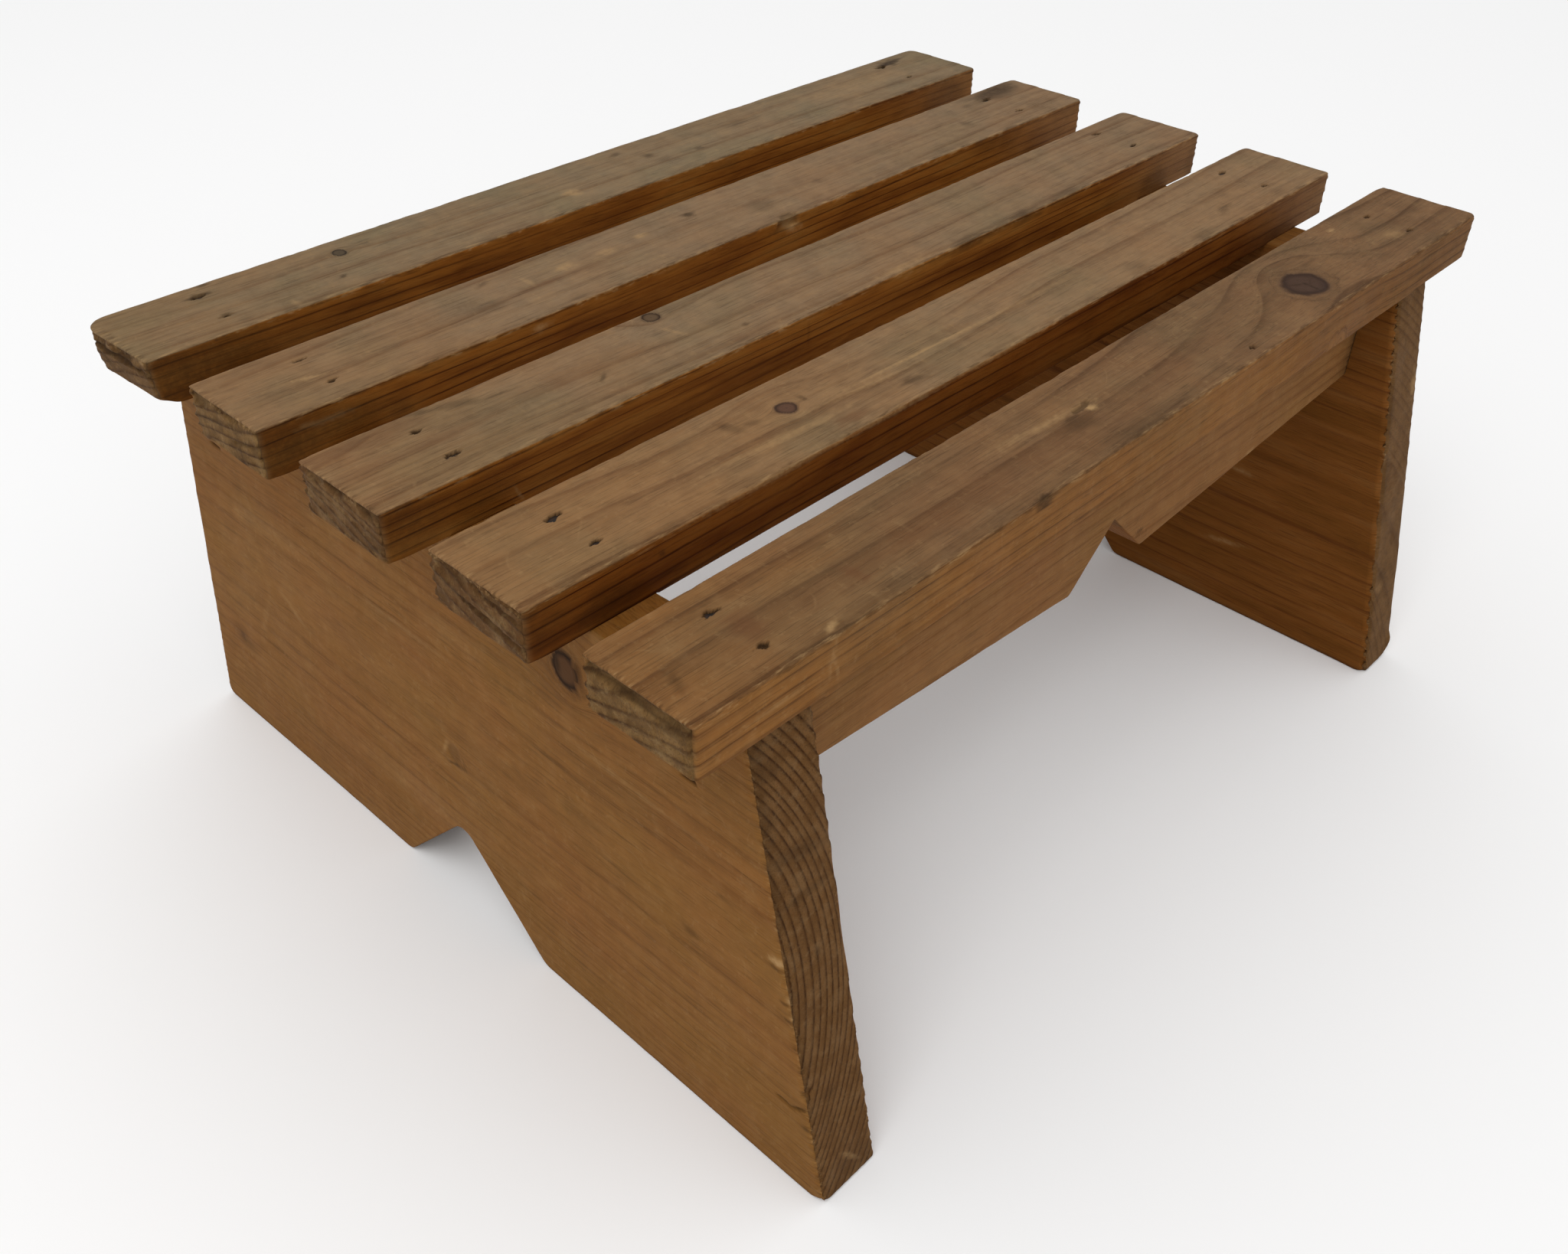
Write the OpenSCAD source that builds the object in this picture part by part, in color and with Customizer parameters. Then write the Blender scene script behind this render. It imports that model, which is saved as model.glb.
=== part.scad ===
// A low stool for fitting shoes, knocked together in pine: five slats nailed down on the
// top edges of two splayed end boards, and an apron nailed between the boards under the
// front slat and under the back slat. Boards and aprons have a V notch in the lower edge.
// Millimetres. X runs along the slats, -Y is the front and the feet stand on Z = 0.
// Slats are counted from the back, so slat_1 is the back one and slat_5 the front one.

/* [Seat slats] */
// Length of a slat
slat_l = 472; // [420:1:560]
// Width of a slat
slat_w = 45; // [42:1:60]
// Thickness of a slat
slat_t = 19.5; // [16:0.5:28]
// Gap between two slats
slat_gap = 24.5; // [10:0.5:40]
// Rounding of a slat's corners, seen from above
slat_corner_r = 4; // [2:0.5:8]
// Rounding of a slat's arrises, seen from its end or its side
slat_arris_r = 1.5; // [0.5:0.25:3]
// How far a slat's end stands out past the end board
slat_end_overhang = 22.5; // [10:0.5:40]
// How far the front slat and the back slat stand out past the top of the end boards
seat_edge_overhang = 5.5; // [0:0.5:12]

/* [End boards] */
// Height of an end board
board_h = 195; // [160:1:260]
// Thickness of an end board
board_t = 27; // [20:0.5:36]
// How far each foot stands out past the board's top edge, front and back
board_flare = 38; // [10:1:60]
// Rounding of the outer corners of the feet
foot_r = 6; // [2:0.5:12]
// Rounding of the two corners under the slats
board_top_r = 2; // [1:0.5:4]
// Width of the V notch between the feet
board_notch_w = 90; // [60:1:130]
// Height of the V notch, up to where its two sides would meet
board_notch_h = 47.5; // [25:0.5:70]
// Rounding at the top of the V notch
board_notch_r = 8; // [3:0.5:14]
// Rounding where the V notch meets the soles
board_notch_foot_r = 7; // [2:0.5:12]

/* [Aprons] */
// Thickness of an apron
apron_t = 20; // [15:0.5:26]
// Depth of an apron where it meets the end boards
apron_end_h = 47; // [40:1:70]
// Depth of an apron beside its notch
apron_mid_h = 60; // [50:1:90]
// How far an apron's middle lies inside the middle of the slat above it
apron_inset = 6; // [4:0.5:7]
// Width of the V notch in an apron
apron_notch_w = 48.5; // [30:0.5:80]
// Height of the V notch in an apron
apron_notch_h = 23.5; // [12:0.5:35]
// How far the notch was cut off the middle, to the left seen from outside
apron_notch_shift = 3; // [0:0.5:8]
// Rounding where the notch meets the apron's lower edge
apron_notch_corner_r = 2; // [1:0.5:4]
// Rounding at the top of the apron's notch
apron_notch_top_r = 1; // [0.5:0.25:3]

/* [Nails] */
// Length of the oval nails that hold the slats
slat_nail_l = 40; // [32:1:45]
// Length of the oval nails that hold the aprons
apron_nail_l = 50; // [45:1:65]
// Long width of a nail's oval shank
nail_w = 3.4; // [2.6:0.1:4]
// Short width of a nail's oval shank
nail_thin = 2; // [1.4:0.1:2.4]
// Length of a nail's point
nail_tip_l = 5; // [3:0.5:8]
// Long width of a nail's head
nail_head_w = 4.6; // [4.2:0.1:5.6]
// Short width of a nail's head
nail_head_thin = 2.8; // [2.5:0.1:3.1]
// Height of a nail's head
nail_head_h = 1.6; // [1:0.1:2.5]
// Depth to which a nail was punched below the wood
pit_depth = 1.2; // [0.5:0.1:2.5]
// Long width of the pit above a nail, torn open along the grain
pit_w = 6.6; // [5.8:0.1:8]
// Short width of the pit above a nail
pit_thin = 3.3; // [3.2:0.1:4.5]

/* [Hidden] */
$fn = 32;
slat_count = 5;
sides = [-1, 1];
// Straight pieces in a rounded corner of an outline
arc_steps = 8;
// How far a cut runs past the surface that it opens
overrun = 1;

slat_pitch = slat_w + slat_gap;
seat_h = board_h + slat_t;
outer_slat_y = slat_pitch * (slat_count - 1) / 2;
seat_d = 2 * outer_slat_y + slat_w;
board_top_d = seat_d - 2 * seat_edge_overhang;
board_foot_d = board_top_d + 2 * board_flare;
board_x = slat_l / 2 - slat_end_overhang - board_t / 2;
apron_l = 2 * board_x - board_t;
apron_y = outer_slat_y - apron_inset;

// Where the nails were driven by hand. Each slat has a back and a front nail at its left end,
// then the same at its right end, off its middle line as shares of its width.
slat_nail_share = [
  [[0.28, -0.20], [0.29, -0.16]],
  [[0.25, -0.21], [0.25, -0.22]],
  [[0.24, -0.21], [0.29, -0.18]],
  [[0.20, -0.23], [0.28, -0.20]],
  [[0.22, -0.24], [0.24, -0.20]]
];
// The lower and the upper nail at each end of the front apron, then of the back apron: how far
// in from its middle as a share of its thickness, and how high as a share of its end's depth.
apron_nail_share = [
  [[0.15, 0.28], [-0.10, 0.75]],
  [[-0.25, 0.26], [-0.25, 0.75]]
];

pale_wood = "#8d7152";
board_wood = "#7d5634";
apron_wood = "#77522f";
nail_steel = "#3b3632";

function side_name(side) = side < 0 ? "left" : "right";
function side_index(side) = side < 0 ? 0 : 1;
function row_name(row) = row < 0 ? "front" : "back";
function slat_name(i) = str("slat_", i);
function slat_nails_name(i, side) = str(slat_name(i), "_", side_name(side), "_nails");
function board_name(side) = str(side_name(side), "_end_board");
function apron_name(row) = str(row_name(row), "_apron");
function apron_nails_name(row, side) = str(apron_name(row), "_", side_name(side), "_nails");

function slat_y(i) = outer_slat_y - slat_pitch * (i - 1);
function unit(v) = v / norm(v);

// The arc that rounds corner b between its neighbours a and c. A corner is [x, y, radius].
function corner_arc(a, b, c) =
  let (
    corner = [b.x, b.y],
    to_a = unit([a.x, a.y] - corner),
    to_c = unit([c.x, c.y] - corner),
    half_angle = acos(to_a * to_c) / 2,
    centre = corner + unit(to_a + to_c) * b.z / sin(half_angle),
    spoke = corner + to_a * b.z / tan(half_angle) - centre,
    start = atan2(spoke.y, spoke.x),
    turn = (cross(to_a, to_c) < 0 ? 1 : -1) * (180 - 2 * half_angle)
  )
  [for (k = [0 : arc_steps])
    let (angle = start + turn * k / arc_steps)
    centre + b.z * [cos(angle), sin(angle)]];

// The points of a closed outline, given as corners that are each rounded, or sharp at radius 0
function rounded_outline(corners) =
  let (count = len(corners))
  [for (k = [0 : count - 1])
    let (b = corners[k])
    each b.z == 0
      ? [[b.x, b.y]]
      : corner_arc(corners[(k + count - 1) % count], b, corners[(k + 1) % count])];

function rectangle_corners(w, h, r) =
  [[-w / 2, -h / 2, r], [w / 2, -h / 2, r], [w / 2, h / 2, r], [-w / 2, h / 2, r]];

// Turns a flat outline so that it stands upright and is extruded along X or along Y
module along_x(length) {
  rotate([90, 0, 90]) linear_extrude(length, center = true) children();
}

module along_y(length) {
  rotate([90, 0, 0]) linear_extrude(length, center = true) children();
}

// Where the rounded profiles of three directions meet: a planed batten with eased arrises
module slat_blank() {
  intersection() {
    linear_extrude(slat_t, center = true)
      polygon(rounded_outline(rectangle_corners(slat_l, slat_w, slat_corner_r)));
    along_x(slat_l)
      polygon(rounded_outline(rectangle_corners(slat_w, slat_t, slat_arris_r)));
    along_y(slat_w)
      polygon(rounded_outline(rectangle_corners(slat_l, slat_t, slat_arris_r)));
  }
}

module end_board_blank() {
  along_x(board_t)
    polygon(rounded_outline([
      [-board_foot_d / 2, 0, foot_r],
      [-board_notch_w / 2, 0, board_notch_foot_r],
      [0, board_notch_h, board_notch_r],
      [board_notch_w / 2, 0, board_notch_foot_r],
      [board_foot_d / 2, 0, foot_r],
      [board_top_d / 2, board_h, board_top_r],
      [-board_top_d / 2, board_h, board_top_r]
    ]));
}

// Seen from the front, its lower edge falls from the ends to the notch
module apron_blank() {
  end_z = board_h - apron_end_h;
  mid_z = board_h - apron_mid_h;
  along_y(apron_t)
    polygon(rounded_outline([
      [-apron_l / 2, end_z, 0],
      [-apron_notch_shift - apron_notch_w / 2, mid_z, apron_notch_corner_r],
      [-apron_notch_shift, mid_z + apron_notch_h, apron_notch_top_r],
      [-apron_notch_shift + apron_notch_w / 2, mid_z, apron_notch_corner_r],
      [apron_l / 2, end_z, 0],
      [apron_l / 2, board_h, 0],
      [-apron_l / 2, board_h, 0]
    ]));
}

module oval(w, thin) {
  square([w - thin, thin], center = true);
  for (end = sides) translate([end * (w - thin) / 2, 0]) circle(d = thin);
}

// An oval nail, its head's top at the origin and its point down
module oval_nail(length) {
  translate([0, 0, -nail_head_h]) linear_extrude(nail_head_h) oval(nail_head_w, nail_head_thin);
  intersection() {
    translate([0, 0, -length]) linear_extrude(length) oval(nail_w, nail_thin);
    along_y(nail_w)
      polygon([
        [-nail_w / 2, 0],
        [-nail_w / 2, nail_tip_l - length],
        [0, -length],
        [nail_w / 2, nail_tip_l - length],
        [nail_w / 2, 0]
      ]);
  }
}

// What a nail takes out of the wood: its own shape and the pit that the punch left above it
module nail_and_pit(length) {
  oval_nail(length);
  linear_extrude(pit_depth + overrun) oval(pit_w, pit_thin);
}

module at_slat_nails(i, side) {
  for (share = slat_nail_share[i - 1][side_index(side)])
    translate([side * board_x, slat_y(i) + share * slat_w, seat_h - pit_depth]) children();
}

module at_apron_nails(row, side) {
  for (share = apron_nail_share[side_index(row)])
    translate([
      side * (board_x + board_t / 2 - pit_depth),
      row * (apron_y - share.x * apron_t),
      board_h - apron_end_h * (1 - share.y)
    ])
      rotate([0, side * 90, 0]) rotate([0, 0, 90]) children();
}

module slat(i) {
  color(pale_wood)
    difference() {
      translate([0, slat_y(i), board_h + slat_t / 2]) slat_blank();
      for (side = sides) at_slat_nails(i, side) nail_and_pit(slat_nail_l);
    }
}

module end_board(side) {
  color(board_wood)
    difference() {
      translate([side * board_x, 0, 0]) end_board_blank();
      for (i = [1 : slat_count]) at_slat_nails(i, side) oval_nail(slat_nail_l);
      for (row = sides) at_apron_nails(row, side) nail_and_pit(apron_nail_l);
    }
}

// The back apron is the same piece turned round, so that its notch is off the other way
module apron(row) {
  color(apron_wood)
    difference() {
      translate([0, row * apron_y, 0]) rotate([0, 0, row < 0 ? 0 : 180]) apron_blank();
      for (side = sides) at_apron_nails(row, side) oval_nail(apron_nail_l);
    }
}

module slat_nails(i, side) {
  color(nail_steel) at_slat_nails(i, side) oval_nail(slat_nail_l);
}

module apron_nails(row, side) {
  color(nail_steel) at_apron_nails(row, side) oval_nail(apron_nail_l);
}

for (i = [1 : slat_count])
  slat(i);

for (side = sides)
  end_board(side);

for (row = sides)
  apron(row);

for (i = [1 : slat_count], side = sides)
  slat_nails(i, side);

for (row = sides, side = sides)
  apron_nails(row, side);
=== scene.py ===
"""Looks of an old pine stool: five worn slats on two splayed end boards and two aprons.

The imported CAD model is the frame. Every timber is built again as a closed, dense mesh in the place
of its CAD node, with growth rings that run through the wood, knots, worn arrises, torn ends and nail
pits. The nails stay CAD nodes and get a finish. Lengths are in millimetres in the frame's axes, and
a name that ends in _m is in metres.
"""

import logging
import math
from dataclasses import dataclass, replace
from enum import Enum
from functools import partial
from typing import ClassVar

import bmesh
import bpy
import numpy as np
from mathutils import Matrix, Vector


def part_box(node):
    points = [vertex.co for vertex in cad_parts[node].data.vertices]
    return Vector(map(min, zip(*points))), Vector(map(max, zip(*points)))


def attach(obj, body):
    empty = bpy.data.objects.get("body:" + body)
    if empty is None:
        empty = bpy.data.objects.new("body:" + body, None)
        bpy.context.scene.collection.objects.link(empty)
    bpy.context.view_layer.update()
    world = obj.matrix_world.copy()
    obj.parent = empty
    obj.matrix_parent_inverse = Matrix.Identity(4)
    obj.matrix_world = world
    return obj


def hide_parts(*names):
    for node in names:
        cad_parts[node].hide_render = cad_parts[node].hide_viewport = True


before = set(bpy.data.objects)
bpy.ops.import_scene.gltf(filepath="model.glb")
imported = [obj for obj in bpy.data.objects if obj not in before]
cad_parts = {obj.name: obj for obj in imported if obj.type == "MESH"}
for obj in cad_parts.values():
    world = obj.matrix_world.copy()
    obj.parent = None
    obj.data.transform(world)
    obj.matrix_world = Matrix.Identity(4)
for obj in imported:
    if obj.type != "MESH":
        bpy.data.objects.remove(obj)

LOG = logging.getLogger("pine_stool")
MM_PER_M = 1000.0
TINY = 1e-9
# Half the width of every nail's head, along the row of the two nails of a joint.
NAIL_HALF = 1.4

Array = np.ndarray
Triple = tuple[float, float, float]
Point = tuple[float, float]
Socket = bpy.types.NodeSocket


class Axis(Enum):
    """The frame's axes, by their column in an array of points."""

    X = 0
    Y = 1
    Z = 2


class Blemish(Enum):
    """What a mark does to the wood."""

    # Stains are dirt and rust; some are painted shade, in cracks and at the slats' left fronts.
    STAIN = "dark dirt or nail rust in the grain"
    PALE = "a rubbed or scratched place with fresh wood"
    RED = "reddish heartwood"
    DENT = "a pressed or torn hollow"
    PIT = "a punched nail pit with dark walls"


def smoothstep(low: float, high: float, value: Array) -> Array:
    """Returns 0 below low, 1 above high and an even S curve between them."""
    share = np.clip((value - low) / (high - low), 0.0, 1.0)
    return share * share * (3.0 - 2.0 * share)


def smooth_curve(points: tuple[Point, ...], at: Array) -> Array:
    """Reads a smooth curve through a few given points.

    Args:
        points: The points, with rising first values.
        at: First values at which the curve is read.

    Returns:
        The curve's second value at each of them, held level past the ends.
    """
    first, second = np.array(points, float).T
    slope = np.gradient(second, first)
    left = np.clip(np.searchsorted(first, at) - 1, 0, len(first) - 2)
    span = first[left + 1] - first[left]
    t = np.clip((at - first[left]) / span, 0.0, 1.0)
    start = (1.0 + 2.0 * t) * (1.0 - t) ** 2 * second[left]
    end = t * t * (3.0 - 2.0 * t) * second[left + 1]
    leave = t * (1.0 - t) ** 2 * span * slope[left]
    arrive = t * t * (t - 1.0) * span * slope[left + 1]
    return start + end + leave + arrive


def rounded_chain(corners: tuple[Triple, ...], steps: int = 12) -> Array:
    """Rounds the corners of an open chain of straight lines.

    Args:
        corners: The corners, each as its place and its rounding radius.
        steps: How many lines stand for each arc.

    Returns:
        The points of the rounded chain.
    """
    chain = [corners[0][:2]]
    for before, corner, after in zip(corners, corners[1:], corners[2:]):
        middle = np.array(corner[:2])
        back = np.array(before[:2]) - middle
        ahead = np.array(after[:2]) - middle
        back /= np.linalg.norm(back)
        ahead /= np.linalg.norm(ahead)
        half = math.acos(float(np.clip(back @ ahead, -1.0, 1.0))) / 2.0
        inward = (back + ahead) / np.linalg.norm(back + ahead)
        centre = middle + inward * corner[2] / math.sin(half)
        tangent = corner[2] / math.tan(half)
        for step in range(steps + 1):
            share = step / steps
            chord = middle + (back * (1.0 - share) + ahead * share) * tangent
            ray = chord - centre
            chain.append(tuple(centre + ray / np.linalg.norm(ray) * corner[2]))
    chain.append(corners[-1][:2])
    return np.array(chain)


def graded(low: float, high: float, pitch: float, fine: tuple[Triple, ...]) -> Array:
    """Spaces the cuts of a block, closer together where detail needs them.

    Args:
        low: Where the block begins.
        high: Where it ends.
        pitch: The usual distance between cuts.
        fine: Places with closer cuts, each as its middle, its reach and the distance there.

    Returns:
        The places of the cuts, with both ends.
    """
    samples = np.linspace(low, high, 6001)
    density = np.full_like(samples, 1.0 / pitch)
    for middle, reach, close in fine:
        density += (1.0 / close - 1.0 / pitch) * np.exp(-(((samples - middle) / reach) ** 2))
    steps = (density[1:] + density[:-1]) / 2.0 * np.diff(samples)
    total = np.concatenate([[0.0], np.cumsum(steps)])
    count = math.ceil(total[-1])
    return np.interp(np.linspace(0.0, total[-1], count + 1), total, samples)


class Noise:
    """A smooth random field in space, the same on each run."""

    CELLS: ClassVar[int] = 32

    def __init__(self, seed: int) -> None:
        """Fills the field's lattice from a seed."""
        shape = (self.CELLS, self.CELLS, self.CELLS)
        self.lattice = np.random.default_rng(seed).uniform(-1.0, 1.0, shape)

    def at(self, points: Array, cell: Triple, shift: float = 0.0) -> Array:
        """Reads the field.

        Args:
            points: The points, one row each.
            cell: The size of the field's cells along each axis.
            shift: Moves the field, for one that looks unlike the last.

        Returns:
            A value from -1 to 1 for each point.
        """
        scaled = points / np.array(cell) + shift
        corner = np.floor(scaled).astype(int)
        part = scaled - corner
        part = part * part * (3.0 - 2.0 * part)
        value = np.zeros(len(points))
        for index in np.ndindex(2, 2, 2):
            weight = np.ones(len(points))
            for axis in range(3):
                weight *= part[:, axis] if index[axis] else 1.0 - part[:, axis]
            spot = (corner + np.array(index)) % self.CELLS
            value += weight * self.lattice[spot[:, 0], spot[:, 1], spot[:, 2]]
        return value


def linear_colour(code: str) -> tuple[float, float, float, float]:
    """Turns an sRGB hex colour into the linear values of a shader.

    Args:
        code: Six hex digits.

    Returns:
        Red, green, blue and an alpha of 1.
    """
    shares = [int(code[i : i + 2], 16) / 255.0 for i in (0, 2, 4)]
    linear = [s / 12.92 if s <= 0.04045 else ((s + 0.055) / 1.055) ** 2.4 for s in shares]
    return (linear[0], linear[1], linear[2], 1.0)


MULTIPLY = {"operation": "MULTIPLY", "use_clamp": True}
MULTIPLY_ADD = {"operation": "MULTIPLY_ADD", "use_clamp": True}
SUBTRACT = {"operation": "SUBTRACT", "use_clamp": True}
MAXIMUM = {"operation": "MAXIMUM", "use_clamp": True}
COLOURS = {"data_type": "RGBA", "output": 2}


def add_node(
    tree: bpy.types.NodeTree,
    kind: str,
    inputs: dict | None = None,
    output: int | str = 0,
    stops: tuple[tuple[float, float | str], ...] = (),
    **settings: object,
) -> Socket | None:
    """Adds one node to a material or the world.

    Args:
        tree: The node tree.
        kind: Blender's name for the node's type, without the ShaderNode before it.
        inputs: What each input takes, by its name or number: a value, an sRGB hex colour, or
            another node's output.
        output: The output to hand back, by its name or number.
        stops: The stops of a ramp, each as its place and its level or sRGB hex colour.
        **settings: The node's own properties.

    Returns:
        The node's output, or None where it has none.
    """
    node = tree.nodes.new("ShaderNode" + kind)
    for name, value in settings.items():
        setattr(node, name, value)
    for socket, value in (inputs or {}).items():
        if isinstance(value, Socket):
            tree.links.new(value, node.inputs[socket])
        else:
            node.inputs[socket].default_value = linear_colour(value) if isinstance(value, str) else value
    elements = node.color_ramp.elements if stops else ()
    while len(elements) < len(stops):
        elements.new(0.5)
    for element, (place, level) in zip(elements, stops):
        element.position = place
        element.color = linear_colour(level) if isinstance(level, str) else (level, level, level, 1.0)
    return node.outputs[output] if node.outputs else None


def start_material(name: str) -> tuple[bpy.types.Material, partial]:
    """Makes an empty material.

    Args:
        name: What the material is.

    Returns:
        The material, and add_node for its tree.
    """
    made = bpy.data.materials.new(name)
    made.use_nodes = True
    made.node_tree.nodes.clear()
    return made, partial(add_node, made.node_tree)


@dataclass(frozen=True)
class PineFinish:
    """Old Scots pine, planed and waxed long ago: warm and amber, its rings drawn in brown.

    Handled faces have gone dull and tan, sheltered ones kept a deep amber that is made darker as painted
    shade between the parts, and sawn ends are grey.
    Each pair of colours holds the spring wood (early) and the dark rim of each ring (late). Noises
    draw the rest: pitches and sizes are theirs in millimetres. Real fibres are near 0.03 mm thick,
    too fine for the picture, so a bundle of them stands for one.

    Attributes:
        ring_strength: How strongly the rings show.
        ring_softness: How far they are blurred on rubbed faces.
        end_contrast: How strongly they show in the weaker patches of sawn ends.
        streak_strength: How strongly broad streaks along the grain show.
    """

    name: str
    early: str = "865f36"
    late: str = "5c371a"
    dull_early: str = "816b52"
    dull_late: str = "624831"
    # Deep colours: amber the wood kept, made darker and more saturated as painted shade between the parts.
    deep_early: str = "824f1b"
    deep_late: str = "331503"
    deep_stain: str = "4f2507"
    deep_faded: str = "90652f"
    end_early: str = "6d5230"
    end_late: str = "352010"
    end_dark: str = "503a20"
    end_pale: str = "846a46"
    cool: str = "6b6045"
    rosy: str = "866240"
    knot: str = "5a4632"
    knot_rim: str = "2a1c12"
    # Dark dirt and rust, also used as painted shade in dents, cracks and under the boards.
    grime_and_shade: str = "2b1c0d"
    fresh: str = "a6855a"
    red: str = "5f3c24"
    fibre_shade: str = "53402b"
    streak_shade: str = "8a6038"
    fibre_shine: str = "b7a892"
    speck_shade: str = "4f3822"
    arris_shade: str = "402b18"
    ring_strength: float = 0.85
    ring_softness: float = 0.5
    end_contrast: float = 0.5
    streak_strength: float = 0.2
    fibre_pitch: float = 0.45
    fibre_length: float = 15.0
    streak_pitch: float = 2.6
    streak_length: float = 120.0
    patch_size: float = 34.0
    hue_size: float = 60.0
    mottle_size: float = 8.0
    speck_size: float = 2.4

    # The size of each net of scratches and the width of a scratch in it, and how much smaller the
    # noise is that breaks them up.
    SCRATCHES: ClassVar[tuple[Point, ...]] = ((24.0, 0.2), (15.0, 0.14), (37.0, 0.22))
    SCRATCH_BREAK: ClassVar[float] = 2.2
    # A turn that keeps the noises' cells out of line with the timber.
    TILT_AXIS: ClassVar[Triple] = (0.53, 0.62, 0.58)
    TILT: ClassVar[float] = 0.83

    def patterns(self, node: partial, grain: Socket) -> dict[str, Socket]:
        """Makes the noises that the finish is painted with.

        Args:
            node: add_node for the material's tree.
            grain: Places along, across and down through the grain, in millimetres.

        Returns:
            The patterns' outputs by name.
        """
        made = {}
        for name, length, pitch, detail in (
            ("fibres", self.fibre_length, self.fibre_pitch, 3.0),
            ("streaks", self.streak_length, self.streak_pitch, 4.0),
            ("fades", 150.0, 12.0, 1.0),
            ("tints", 80.0, 9.0, 4.0),
            ("crumbs", 7.0, 1.3, 3.0),
        ):
            scale = (1.0 / length, 1.0 / pitch, 1.0 / pitch)
            run = node("VectorMath", {0: grain, 1: scale}, operation="MULTIPLY")
            made[name] = node("TexNoise", {"Vector": run, "Scale": 1.0, "Detail": detail, "Roughness": 0.6})
        place = node("TexCoord", output="Object")
        place = node("VectorRotate", {"Vector": place, "Axis": self.TILT_AXIS, "Angle": self.TILT})
        clouds = [
            ("patches", self.patch_size, 5.0, 0.0),
            ("specks", self.speck_size, 3.0, 1.0),
            ("mottles", self.mottle_size, 4.0, 2.0),
            ("hues", self.hue_size, 3.0, 3.0),
        ]
        for number, (size, _) in enumerate(self.SCRATCHES):
            clouds.append((f"scratch_{number}", size, 0.0, 4.0 + number))
            clouds.append((f"break_{number}", size / self.SCRATCH_BREAK, 1.0, 13.0 + number))
        for name, size, detail, shift in clouds:
            shape = {"Scale": MM_PER_M / size, "Detail": detail, "Roughness": 0.62, "W": shift}
            made[name] = node("TexNoise", {"Vector": place, **shape}, noise_dimensions="4D")
        for number, (size, width) in enumerate(self.SCRATCHES):
            part = width / size
            stops = ((0.5 - part, 0.0), (0.5, 1.0), (0.5 + part, 0.0))
            line = node("ValToRGB", {0: made[f"scratch_{number}"]}, stops=stops)
            broken = node("ValToRGB", {0: made[f"break_{number}"]}, stops=((0.57, 0.0), (0.68, 1.0)))
            made[f"scratch_{number}"] = node("Math", {0: line, 1: broken}, **MULTIPLY)
        return made

    def material(self) -> bpy.types.Material:
        """Builds the finish as a material.

        Returns:
            The material, which reads the timber's own attributes.
        """
        made, node = start_material(self.name)
        grain, cover, flaws = (
            node("Attribute", output="Vector", attribute_name=name) for name in ("grain", "cover", "flaws")
        )
        count, arris, redness = (
            node("Attribute", output="Fac", attribute_name=name) for name in ("ring", "arris", "redness")
        )
        dull, deep, end = (node("SeparateXYZ", {0: cover}, number) for number in range(3))
        knot, grime_and_shade, fresh = (node("SeparateXYZ", {0: flaws}, number) for number in range(3))
        pattern = self.patterns(node, grain)
        lateness, end_line, band, end_band = self.rings(node, count, deep, pattern)
        tones = []
        for share, early, late in (
            (band, self.early, self.late),
            (band, self.dull_early, self.dull_late),
            (band, self.deep_early, self.deep_late),
            (end_band, self.end_early, self.end_late),
            (end_line, self.knot, self.knot_rim),
        ):
            tones.append(node("Mix", {0: share, 6: early, 7: late}, **COLOURS))
        colour, tan, amber, sawn, bark = tones
        uncovered = [node("Math", {0: 1.0, 1: share}, **SUBTRACT) for share in (deep, end)]
        exposed = node("Math", {0: uncovered[0], 1: uncovered[1]}, **MULTIPLY)
        smudges = node("ValToRGB", {0: pattern["patches"]}, stops=((0.54, 0.0), (0.72, 0.3)))
        dirt = node("Math", {0: dull, 1: smudges}, **MULTIPLY)
        layers = [
            (dull, "patches", ((0.3, 0.62), (0.62, 1.0)), tan, "MIX"),
            # Deep amber: kept colour and painted shade on faces between the parts.
            (deep, "", (), amber, "MIX"),
            (end, "specks", ((0.2, 0.75), (0.6, 1.0)), sawn, "MIX"),
            (exposed, "hues", ((0.36, 0.28), (0.5, 0.0)), self.cool, "MIX"),
            (exposed, "hues", ((0.5, 0.0), (0.66, 0.28)), self.rosy, "MIX"),
            (deep, "tints", ((0.36, 0.55), (0.52, 0.0)), self.deep_stain, "MIX"),
            (deep, "tints", ((0.52, 0.0), (0.68, 0.45)), self.deep_faded, "MIX"),
            (end, "mottles", ((0.38, 0.55), (0.52, 0.0)), self.end_dark, "MIX"),
            (end, "mottles", ((0.5, 0.0), (0.66, 0.4)), self.end_pale, "MIX"),
            (end, "specks", ((0.34, 0.5), (0.48, 0.0)), self.end_dark, "MIX"),
            (end, "specks", ((0.54, 0.0), (0.68, 0.4)), self.end_pale, "MIX"),
            (1.0, "fibres", ((0.3, 0.4), (0.5, 0.0)), self.fibre_shade, "MULTIPLY"),
            (1.0, "streaks", ((0.35, self.streak_strength), (0.5, 0.0)), self.streak_shade, "MULTIPLY"),
            (1.0, "fibres", ((0.5, 0.0), (0.7, 0.45)), self.fibre_shine, "SOFT_LIGHT"),
            (exposed, "mottles", ((0.34, 0.15), (0.5, 0.0)), self.speck_shade, "MIX"),
            (exposed, "mottles", ((0.5, 0.0), (0.7, 0.1)), self.fresh, "MIX"),
            (exposed, "specks", ((0.58, 0.0), (0.7, 0.14)), self.fresh, "MIX"),
        ]
        for number in range(len(self.SCRATCHES)):
            layers.append((exposed, f"scratch_{number}", ((0.0, 0.0), (1.0, 0.12)), self.fresh, "MIX"))
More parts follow.
